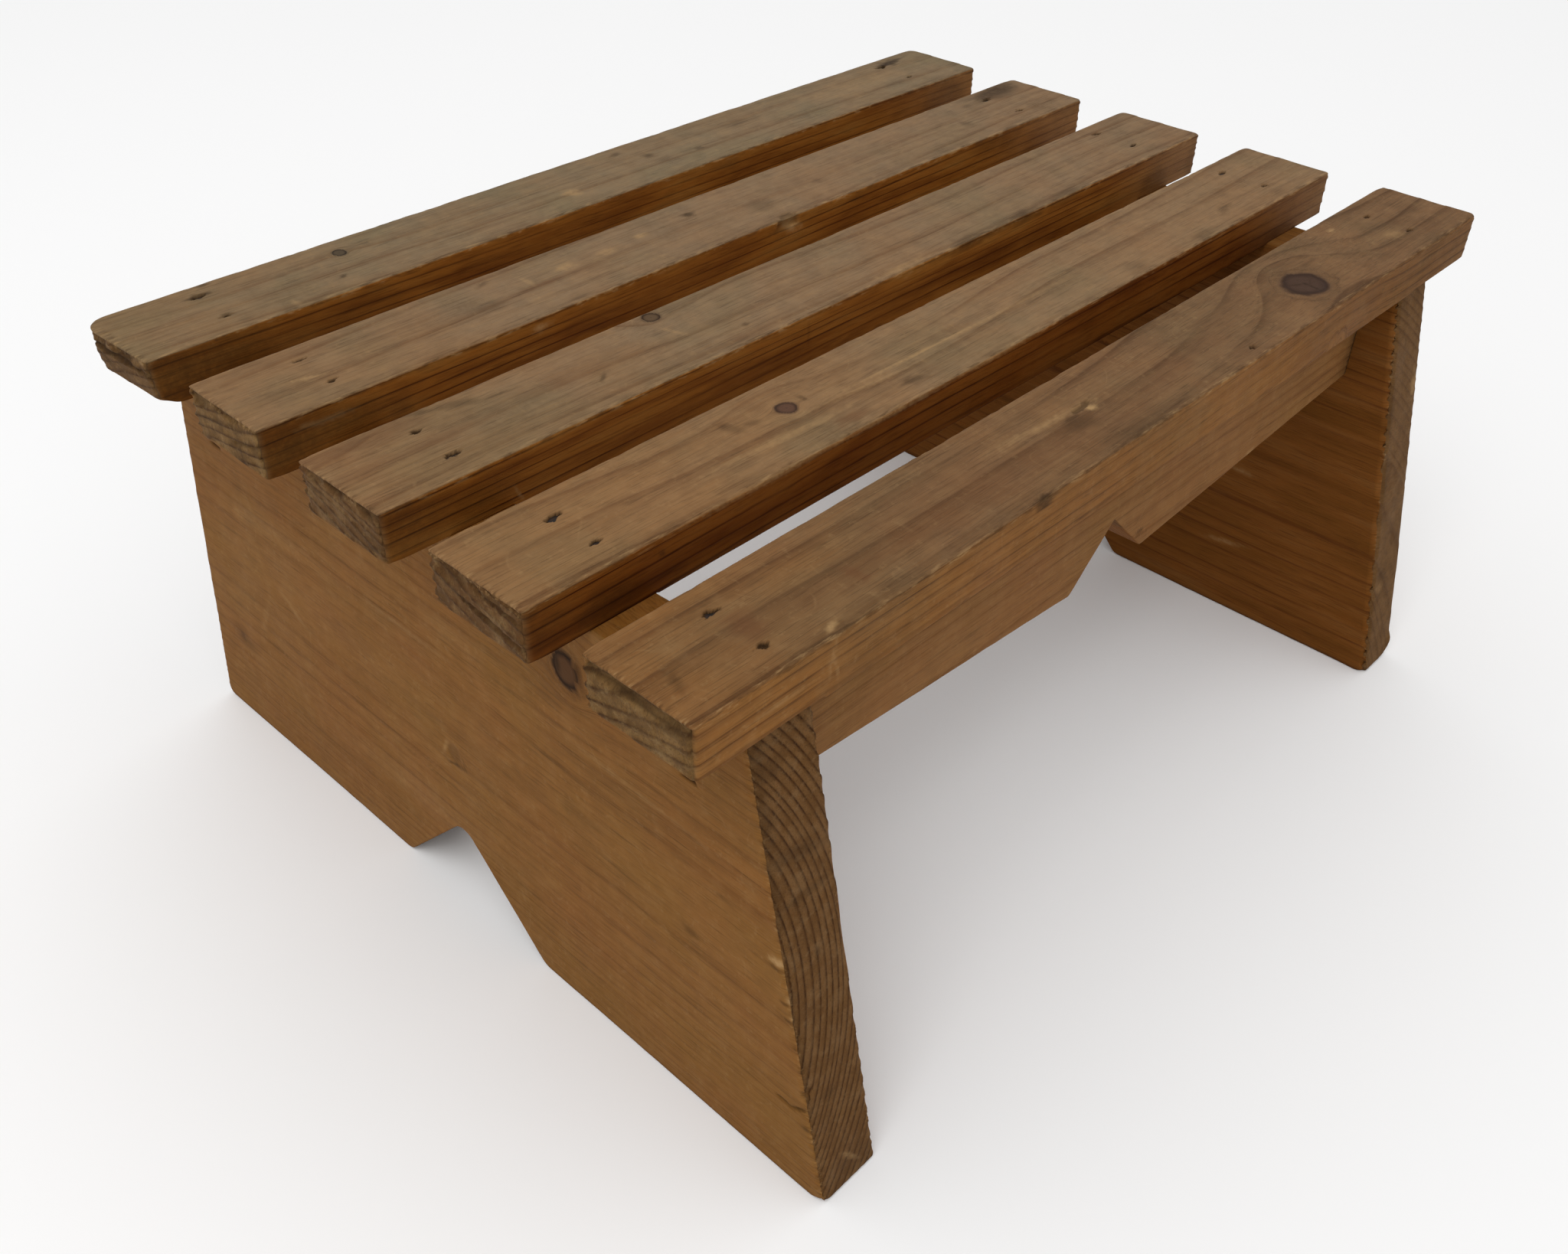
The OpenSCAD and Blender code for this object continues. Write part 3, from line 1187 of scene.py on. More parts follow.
    def arris_radius(self, points: Array) -> Array:
        """Leaves the arrises nearly sharp below, worn on top and well worn at the ends.

        Args:
            points: Places in the frame.

        Returns:
            The rounding of the arrises at each point.
        """
        top = smoothstep(self.low[2] + 4.0, self.high[2] - 4.0, points[:, 2])
        end = 1.0 - smoothstep(0.0, 7.0, self.to_end(points))
        return super().arris_radius(points) * (0.22 + 0.78 * top + (0.45 + 0.35 * top) * end)

    def end_nearness(self, points: Array, reach: float) -> Array:
        """Returns 1 at the ends and 0 beyond reach from them."""
        return 1.0 - smoothstep(0.0, reach, self.to_end(points))

    def on_front(self, face: Array, kind: Blemish) -> Array:
        """Returns the strongest mark of a kind on the front face at each place."""
        turned = np.stack([face[:, 0], face[:, 2], self.high[1] - self.low[1] - face[:, 1]], axis=1)
        return strongest(self.front_marks, kind, turned, self.noise)

    def chips(self, points: Array, normals: Array) -> Array:
        """Tears splinters off the long top arrises.

        Args:
            points: Places in the frame.
            normals: The surface's normals.

        Returns:
            How chipped each point is, from 0 to 1.
        """
        arris = np.clip(5.0 * normals[:, 1] ** 2 * normals[:, 2] ** 2, 0.0, 1.0) * (normals[:, 2] > 0.0)
        torn = self.noise.at(points, (11.0, 5.0, 5.0), 8.8)
        torn += 0.5 * self.noise.at(points, (3.0, 3.0, 3.0), 6.1)
        return arris * smoothstep(0.05, 0.7, torn)

    def on_left_end(self, face: Array, kind: Blemish) -> Array:
        """Returns the strongest mark of a kind on the left end at each place."""
        turned = face[:, [1, 2, 0]] + np.array([0.0, 0.0, self.left_reach])
        return strongest(self.end_marks, kind, turned, self.noise)

    def relief(self, face: Array, points: Array, normals: Array, late: Array) -> Array:
        """Hollows the soft wood, breaks the top layers at the ends and adds slow waves.

        Args:
            face: Places on the timber.
            points: Places in the frame.
            normals: The surface's normals.
            late: How late the wood is in its ring.

        Returns:
            How far each point is worn down.
        """
        end = smoothstep(0.35, 0.85, np.abs(normals[:, 0]))
        near_end = self.end_nearness(points, 9.0)
        soft = 1.0 - late
        worn = soft * (0.04 + 0.12 * near_end + 0.12 * end)
        worn += 0.05 * (1.0 + self.noise.at(points, (70.0, 16.0, 16.0)))
        worn += 0.3 * self.chips(points, normals)
        torn = 0.5 + 0.5 * self.noise.at(points, (9.0, 6.0, 3.0), 5.5)
        top_layer = 1.0 - smoothstep(1.5, 5.5, face[:, 2])
        worn += end * (0.2 * torn + 1.3 * torn * torn * top_layer)
        worn += end * 0.1 * (1.0 + self.noise.at(points, (3.0, 4.0, 1.6), 1.3))
        corner = 1.0 - smoothstep(0.4, 3.2, np.maximum(self.to_end(points), self.to_side(points)))
        corner *= np.where(points[:, 0] < 0.0, 0.9, 0.25)
        corner *= 1.0 - smoothstep(0.3, 0.7, np.abs(normals[:, 2]))
        worn += soft * corner + end * 0.12 * (1.0 + self.noise.at(points, (3.0, 2.6, 5.0), 4.4))
        worn += end * self.on_left_end(face, Blemish.DENT)
        return worn + smoothstep(0.3, 0.8, -normals[:, 1]) * self.on_front(face, Blemish.DENT)

    def cover(self, points: Array, normals: Array) -> Array:
        """Makes the top dull but golden at the left, the sides deep, partly as painted shade between the
        slats, and the ends grey.

        Args:
            points: Places in the frame.
            normals: The surface's normals.

        Returns:
            How dull, how deep in colour and how much end grain each point is.
        """
        top = smoothstep(0.25, 0.62, normals[:, 2])
        end = smoothstep(0.45, 0.85, np.abs(normals[:, 0]))
        corner = 0.7 * self.end_nearness(points, 3.0) * (1.0 - top)
        wander = 30.0 * self.noise.at(points, (40.0, 12.0, 9.0))
        right = smoothstep(0.0, self.gold_reach, points[:, 0] - self.low[0] + wander)
        dull = (self.dull_left + (self.dull_right - self.dull_left) * right) * top
        # Long sides go deep amber, partly as painted shade between the slats; a lower shelter leaves a front
        # face lighter.
        front = smoothstep(0.3, 0.8, -normals[:, 1]) * (1.0 - self.shelter)
        deep = (1.0 - top) * (1.0 - end) * (1.0 - front)
        to_right = self.high[0] + self.right_reach - points[:, 0]
        dust = self.right_dust * (1.0 - smoothstep(8.0, 95.0, to_right))
        deep *= 1.0 - dust
        dull = np.maximum(dull, 0.8 * dust * (1.0 - top) * (1.0 - end))
        deep *= 1.0 - 0.6 * self.end_nearness(points, 4.0)
        return np.stack([dull, deep, np.maximum(end, corner)], axis=1)

    def dirt(self, face: Array, points: Array, normals: Array) -> tuple[Array, Array]:
        """Adds the marks on the left end and the front, painted shade in the end's dents, and the dirt along
        the top's front arris. The stains in the end's cracks and at the left of the front are painted shade.

        Args:
            face: Places on the timber.
            points: Places in the frame.
            normals: The surface's normals.

        Returns:
            How dark, from dirt and painted shade, and how freshly rubbed each point is, from 0 to 1.
        """
        grime_and_shade, fresh = super().dirt(face, points, normals)
        end = smoothstep(0.3, 0.7, np.abs(normals[:, 0]))
        # The end's dents darken: painted shade in the hollows of the torn end.
        hollow = 0.35 * smoothstep(0.2, 1.0, self.on_left_end(face, Blemish.DENT))
        grime_and_shade = np.maximum(grime_and_shade, end * np.maximum(self.on_left_end(face, Blemish.STAIN), hollow))
        fresh = np.maximum(fresh, end * self.on_left_end(face, Blemish.PALE))
        side = smoothstep(0.3, 0.7, -normals[:, 1])
        grime_and_shade = np.maximum(grime_and_shade, side * self.on_front(face, Blemish.STAIN))
        fresh = np.maximum(fresh, side * self.on_front(face, Blemish.PALE))
        front = 1.0 - smoothstep(self.low[1] + 0.5, self.low[1] + 8.0, points[:, 1])
        worn_top = (normals[:, 2] > 0.25) * (1.0 - end)
        smudge = self.noise.at(points, (26.0, 5.0, 5.0), 2.9)
        smudge += 0.6 * self.noise.at(points, (7.0, 2.0, 2.0), 3.7)
        grime_and_shade = np.maximum(grime_and_shade, 0.22 * front * worn_top * smoothstep(0.0, 0.9, smudge))
        return grime_and_shade, fresh

    def arris_share(self, points: Array) -> Array:
        """Chips the top arrises, the front one most of all.

        Args:
            points: Places in the frame.

        Returns:
            How near each point is to a chipped arris, from 0 to 1.
        """
        below = self.high[2] - points[:, 2]
        front = 0.85 * (1.0 - smoothstep(0.8, 2.6, below + points[:, 1] - self.low[1]))
        back = 0.3 * (1.0 - smoothstep(0.8, 2.0, below + self.high[1] - points[:, 1]))
        end = 0.8 * (1.0 - smoothstep(1.2, 3.8, below + self.to_end(points)))
        return np.maximum(np.maximum(front, back), end)

    def build(self) -> bpy.types.Object:
        """Adds the nail pits to the marks and builds the slat.

        Returns:
            The finished object.
        """
        turns = np.random.default_rng(self.seed).uniform(-14.0, 14.0, 4)
        pits = []
        for middle, open_share, turn in zip(self.nail_places(), self.holes, turns):
            along = middle[0] - self.low[0]
            size = 0.8 + 0.4 * open_share
            depth = 0.5 + 1.1 * open_share
            place = (along, self.high[1] - middle[1])
            pits.append(Mark(Blemish.PIT, *place, 2.7 * size, 1.15 * size, depth, turn, 0.4))
        self.marks = self.marks + tuple(pits)
        return super().build()


@dataclass
class EndBoard(Timber):
    """A splayed end board that stands on two feet, with its sawn edges to the front and back.

    Attributes:
        outer_side: 1 if its outer face looks to the right, and -1 if to the left.
        end_share: How strongly its sawn edges show end grain.
        foot_half: Half its length at the floor.
        top_half: Half its length at the top.
        notch_half: Half the width of the notch at the floor.
        notch_height: Height of the notch's corner, before it is rounded.
        front_foot_radius: Rounding of the front foot's lower corner.
        back_foot_radius: The same at the back foot.
        edge_radius: Rounding of the outline above the feet.
        sawn_arris: Rounding of the sawn edges' arrises.
        notch_foot_radius: Rounding where the notch meets the feet.
        notch_radius: Rounding of the notch's corner.
        inner_wear: How deep the soft wood is worn along the sawn edges' inner arrises.
        outer_wear: The same along the outer arrises.
        toe_radius: How far the front foot's outer toe is worn round.
        toe_taper: How far the front foot thins on its inner side.
        fine_marks: Middles of small marks that need closer cuts, along and down.
        edge_marks: The marks on the front sawn edge, from its left arris and down from the top.
    """

    outer_side: int = -1
    end_share: float = 1.0
    foot_half: float = 194.0
    top_half: float = 156.0
    notch_half: float = 45.0
    notch_height: float = 47.5
    front_foot_radius: float = 1.8
    back_foot_radius: float = 5.0
    edge_radius: float = 3.0
    sawn_arris: float = 1.1
    notch_foot_radius: float = 7.0
    notch_radius: float = 8.0
    inner_wear: float = 0.35
    outer_wear: float = 0.8
    toe_radius: float = 5.0
    toe_taper: float = 0.0
    fine_marks: tuple[Point, ...] = ()
    edge_marks: tuple[Mark, ...] = ()

    ALONG: ClassVar[Axis] = Axis.Y
    ACROSS: ClassVar[Axis] = Axis.Z
    THICK: ClassVar[Axis] = Axis.X

    def cuts(self) -> dict[Axis, Array]:
        """Cuts more closely at the arrises and round the notch.

        Returns:
            The places along each axis.
        """
        low, high = self.low, self.high
        half = self.foot_half
        sides = ((-half, 7.0, 0.6), (half, 3.0, 0.6), (0.0, 7.0, 0.8))
        sides += ((-self.notch_half, 5.0, 0.9), (self.notch_half, 5.0, 0.9))
        ends = ((low[2], 4.0, 0.7), (high[2], 2.0, 0.8))
        faces = ((low[0], 1.8, 0.55), (high[0], 1.8, 0.55))
        along = tuple((half - mark[0], 4.0, 0.7) for mark in self.fine_marks)
        down = tuple((high[2] - mark[1], 2.5, 0.5) for mark in self.fine_marks)
        return {
            Axis.X: graded(low[0], high[0], 1.3, faces),
            Axis.Y: graded(-half, half, 3.3, sides + along + self.fine_spots(0, half, -1.0)),
            Axis.Z: graded(low[2], high[2], 1.15, ends + down + self.fine_spots(1, high[2], -1.0)),
        }

    def face_places(self, points: Array) -> Array:
        """Returns places from the back foot, down from the top and in from the left face."""
        along = self.foot_half - points[:, 1]
        return np.stack([along, self.high[2] - points[:, 2], points[:, 0] - self.low[0]], axis=1)

    def corner_radius(self, points: Array) -> Array:
        """Returns the rounding of the feet, which is blended into that of the upper corners."""
        foot = np.where(points[:, 1] < 0.0, self.front_foot_radius, self.back_foot_radius)
        return foot + (self.edge_radius - foot) * smoothstep(6.0, 20.0, points[:, 2])

    def arris_radius(self, points: Array) -> Array:
        """Returns arrises that are well worn along the sawn edges."""
        sawn = smoothstep(self.foot_half - 14.0, self.foot_half - 5.0, np.abs(points[:, 1]))
        return super().arris_radius(points) * (1.0 + (self.sawn_arris / self.arris - 1.0) * sawn)

    def outline(self, points: Array) -> Array:
        """Splays the sides, lifts the lower edge into the notch and wears the front foot's toe.

        Args:
            points: Places in the frame.

        Returns:
            The moved points.
        """
        chain = rounded_chain((
            (-self.foot_half, 0.0, 0.0),
            (-self.notch_half, 0.0, self.notch_foot_radius),
            (0.0, self.notch_height, self.notch_radius),
            (self.notch_half, 0.0, self.notch_foot_radius),
            (self.foot_half, 0.0, 0.0),
        ))
        height = self.high[2]
        share = points[:, 1] / self.foot_half
        splay = self.foot_half - self.top_half
        edge = np.zeros(len(points))
        for _ in range(3):
            width = self.foot_half - splay * edge / height
            edge = np.interp(share * width, chain[:, 0], chain[:, 1])
        moved = points.copy()
        moved[:, 2] = edge + (height - edge) * points[:, 2] / height
        moved[:, 1] = share * (self.foot_half - splay * moved[:, 2] / height)
        outer = points[:, 0] - self.low[0] if self.outer_side < 0 else self.high[0] - points[:, 0]
        inner = self.high[0] - self.low[0] - outer
        toe = 1.0 - smoothstep(0.0, 6.5, points[:, 1] + self.foot_half)
        toe *= 1.0 - smoothstep(0.0, 16.0, points[:, 2])
        for inward, radius in ((outer, self.toe_radius), (inner, 0.4 * self.toe_radius)):
            left = np.clip(radius - inward, 0.0, radius)
            moved[:, 2] += toe * (radius - np.sqrt(radius**2 - left**2))
        low_share = (1.0 - smoothstep(0.0, 75.0, moved[:, 2])) ** 2
        front = 1.0 - smoothstep(0.0, 25.0, points[:, 1] + self.foot_half)
        thick = self.high[0] - self.low[0]
        moved[:, 0] -= self.outer_side * self.toe_taper * low_share * front * (1.0 - outer / thick)
        return moved

    def relief(self, face: Array, points: Array, normals: Array, late: Array) -> Array:
        """Hollows the soft wood, most of all along the arrises of the sawn edges.

        Args:
            face: Places on the timber.
            points: Places in the frame.
            normals: The surface's normals.
            late: How late the wood is in its ring.

        Returns:
            How far each point is worn down.
        """
        end = smoothstep(0.4, 0.85, np.abs(normals[:, 1]))
        to_edge = self.to_edge(points)
        left, right = points[:, 0] - self.low[0], self.high[0] - points[:, 0]
        outer, inner = (left, right) if self.outer_side < 0 else (right, left)
        arris = self.outer_wear * (1.0 - smoothstep(0.3, 3.2, np.maximum(outer, to_edge)))
        arris += self.inner_wear * (1.0 - smoothstep(0.3, 3.2, np.maximum(inner, to_edge)))
        arris *= 0.1 + 0.9 * smoothstep(0.0, 20.0, -points[:, 1])
        worn = (1.0 - late) * (0.03 + 0.05 * end + arris)
        worn += 0.05 * (1.0 + self.noise.at(points, (40.0, 60.0, 40.0)))
        worn += end * 0.07 * (1.0 + self.noise.at(points, (6.0, 6.0, 9.0), 1.7))
        return worn

    def to_edge(self, points: Array) -> Array:
        """Returns the distance from the nearer sawn edge."""
        splay = self.foot_half - self.top_half
        return self.foot_half - splay * points[:, 2] / self.high[2] - np.abs(points[:, 1])

    def cover(self, points: Array, normals: Array) -> Array:
        """Makes the outer face waxed, the inner face deep, partly as painted shade, and the sawn edges grey.

        Args:
            points: Places in the frame.
            normals: The surface's normals.

        Returns:
            How dull, how deep in colour and how much end grain each point is.
        """
        end = smoothstep(0.4, 0.9, np.abs(normals[:, 1]))
        inner = smoothstep(0.3, 0.7, -self.outer_side * normals[:, 0])
        outer = smoothstep(0.3, 0.7, self.outer_side * normals[:, 0])
        dull = 0.12 * outer
        deep = np.maximum(inner, 0.15 * outer + 0.5 * (1.0 - outer - inner) * (1.0 - end))
        return np.stack([dull, deep, end * self.end_share], axis=1)

    def dirt(self, face: Array, points: Array, normals: Array) -> tuple[Array, Array]:
        """Darkens the downward faces, partly as painted shade under the board, and the lowest 3 mm, and adds
        the marks on the front sawn edge.

        Args:
            face: Places on the timber.
            points: Places in the frame.
            normals: The surface's normals.

        Returns:
            How dark, from dirt and painted shade, and how freshly rubbed each point is, from 0 to 1.
        """
        grime_and_shade, fresh = super().dirt(face, points, normals)
        # Every downward face darkens, the notch's flanks too: dirt on the soles and painted shade under the
        # board.
        dirt_and_shade_below = smoothstep(0.2, 0.8, -normals[:, 2]) * 0.6
        low = 0.4 * (1.0 - smoothstep(0.0, 3.0, points[:, 2]))
        face_share = 1.0 - smoothstep(0.65, 0.97, np.abs(normals[:, 1]))
        edge = smoothstep(0.5, 0.9, -normals[:, 1])
        grime_and_shade = np.maximum(grime_and_shade * face_share, edge * self.on_edge(points, Blemish.STAIN))
        fresh = np.maximum(fresh * face_share, edge * self.on_edge(points, Blemish.PALE))
        return np.maximum(grime_and_shade, np.maximum(dirt_and_shade_below, low)), fresh

    def on_edge(self, points: Array, kind: Blemish) -> Array:
        """Returns the strongest mark of a kind on the front sawn edge at each place."""
        at = np.stack([points[:, 0] - self.low[0], self.high[2] - points[:, 2], self.to_edge(points)], axis=1)
        return strongest(self.edge_marks, kind, at, self.noise)

    def arris_share(self, points: Array) -> Array:
        """Returns the arrises of the sawn edges."""
        to_face = np.minimum(points[:, 0] - self.low[0], self.high[0] - points[:, 0])
        return 0.6 * (1.0 - smoothstep(0.6, 2.4, self.to_edge(points) + to_face))

    def marked(self, face: Array, kind: Blemish) -> Array:
        """Adds the pits of the aprons' nails on the outer face to the marks.

        Args:
            face: Places on the timber.
            kind: The kind of mark.

        Returns:
            The strongest mark at each place.
        """
        total = super().marked(face, kind)
        if kind is not Blemish.PIT:
            return total
        outer = face.copy()
        if self.outer_side > 0:
            outer[:, 2] = self.high[0] - self.low[0] - face[:, 2]
        pits = tuple(Mark(kind, *place, 2.0, 1.4, 1.3, ragged=0.25) for place in self.nail_places())
        return np.maximum(total, strongest(pits, kind, outer, self.noise))

    def nail_places(self) -> list[Point]:
        """Finds the middles of the aprons' nail heads.

        Returns:
            The heads' places along and down from the top, for the front apron first.
        """
        side = "left" if self.outer_side < 0 else "right"
        heads = []
        for apron in ("front", "back"):
            low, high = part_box(f"{apron}_apron_{side}_nails")
            along = self.foot_half - (low.y + high.y) / 2.0 * MM_PER_M
            for height in (low.z * MM_PER_M + NAIL_HALF, high.z * MM_PER_M - NAIL_HALF):
                heads.append((along, self.high[2] - height))
        return heads


@dataclass
class Apron(Timber):
    """A rail between the end boards, with a small V notch that was cut a little off the middle.

    Attributes:
        outer_side: 1 if its outer face looks to the back, and -1 if to the front.
        end_depth: Its depth at the ends, a little less than in the middle.
        notch_half: Half the width of the notch.
        notch_height: Height of the notch's corner.
        notch_shift: How far the notch lies off the middle.
        notch_corner_radius: Rounding of the notch's lower corners.
        notch_top_radius: Rounding of its upper corner.
    """

    outer_side: int = -1
    end_depth: float = 47.0
    notch_half: float = 24.25
    notch_height: float = 23.5
    notch_shift: float = 3.0
    notch_corner_radius: float = 2.0
    notch_top_radius: float = 1.0

    ALONG: ClassVar[Axis] = Axis.X
    ACROSS: ClassVar[Axis] = Axis.Z
    THICK: ClassVar[Axis] = Axis.Y
    OPEN_ENDS: ClassVar[bool] = True

    def notch_middle(self) -> float:
        """Returns the notch's place: to the left, seen from outside."""
        return self.outer_side * self.notch_shift

    def cuts(self) -> dict[Axis, Array]:
        """Cuts more closely at the arrises and round the notch.

        Returns:
            The places along each axis.
        """
        low, high = self.low, self.high
        middle = self.notch_middle()
        notch = tuple((middle + step * self.notch_half, 3.0, 0.45) for step in (-1, 0, 1))
        return {
            Axis.X: graded(low[0], high[0], 1.3, notch),
            Axis.Y: graded(low[1], high[1], 1.4, ((low[1], 1.5, 0.5), (high[1], 1.5, 0.5))),
            Axis.Z: graded(low[2], high[2], 1.2, ((low[2], 2.0, 0.5), (high[2], 1.0, 0.8))),
        }

    def face_places(self, points: Array) -> Array:
        """Measures places from the outer face.

        Args:
            points: Places in the frame.

        Returns:
            Places along, down from the top and in from the outer face.
        """
        if self.outer_side < 0:
            along, depth = points[:, 0] - self.low[0], points[:, 1] - self.low[1]
        else:
            along, depth = self.high[0] - points[:, 0], self.high[1] - points[:, 1]
        return np.stack([along, self.high[2] - points[:, 2], depth], axis=1)

    def corner_radius(self, points: Array) -> Array:
        """Returns enough room for the arrises of the long edges."""
        return np.full(len(points), 2.0 * self.arris)

    def outline(self, points: Array) -> Array:
        """Lifts the lower edge towards the ends and into the notch.

        Args:
            points: Places in the frame.

        Returns:
            The moved points.
        """
        low, high = self.low[2], self.high[2]
        end = high - self.end_depth
        middle = self.notch_middle()
        chain = rounded_chain((
            (self.low[0], end, 0.0),
            (middle - self.notch_half, low, self.notch_corner_radius),
            (middle, low + self.notch_height, self.notch_top_radius),
            (middle + self.notch_half, low, self.notch_corner_radius),
            (self.high[0], end, 0.0),
        ))
        edge = np.interp(points[:, 0], chain[:, 0], chain[:, 1])
        moved = points.copy()
        moved[:, 2] = edge + (high - edge) * (points[:, 2] - low) / (high - low)
        return moved

    def relief(self, face: Array, points: Array, normals: Array, late: Array) -> Array:
        """Returns faint hollows of the soft wood and slow waves."""
        worn = 0.05 * (1.0 - late) + 0.08 * (1.0 + self.noise.at(points, (60.0, 20.0, 20.0)))
        return worn * (1.0 - smoothstep(0.5, 0.9, np.abs(normals[:, 0])))

    def cover(self, points: Array, normals: Array) -> Array:
        """Makes the outer face waxed and the inner face deep, partly as painted shade.

        Args:
            points: Places in the frame.
            normals: The surface's normals.

        Returns:
            How dull, how deep in colour and how much end grain each point is.
        """
        outer = smoothstep(0.3, 0.7, self.outer_side * normals[:, 1])
        below = smoothstep(0.3, 0.7, -normals[:, 2])
        notch = below * smoothstep(14.0, 16.0, points[:, 2] - self.low[2])
        return np.stack([0.2 * outer, 0.25 + 0.6 * (1.0 - outer), 0.6 * notch], axis=1)


# Planed battens, waxed and then scuffed: tan and dull where shoes rub, amber where they do not, with painted
# shade deepening the amber between the slats.
SLAT_PINE = PineFinish("worn_waxed_pine_slat")
# Wider sawn boards, waxed but hardly touched: a clear warm brown with soft rings and dark ends.
BOARD_PINE = PineFinish(
    "waxed_pine_board",
    early="7c5527", late="593616", deep_early="7b4b1a", deep_late="57300d", deep_stain="6c3f13",
    deep_faded="83562a", end_early="664829", end_late="2b1504", end_dark="54381b", end_pale="75593a",
    cool="745424", rosy="80502a", knot="573a22", knot_rim="1c0f07", ring_strength=0.75,
    ring_softness=1.0, end_contrast=0.85, streak_strength=0.1,
)
# The same stock in the shade of the seat: a little paler and yellower, with faint rings.
APRON_PINE = replace(BOARD_PINE, name="waxed_pine_apron", early="805b34", late="583418", ring_strength=0.65)

# Short names for marks. Each takes its numbers in the order of Mark's fields.
# Stain marks give dirt, and painted shade where they stand for it.
stain_and_shade = partial(Mark, Blemish.STAIN)
pale = partial(Mark, Blemish.PALE)
dent = partial(Mark, Blemish.DENT)
red = partial(Mark, Blemish.RED)


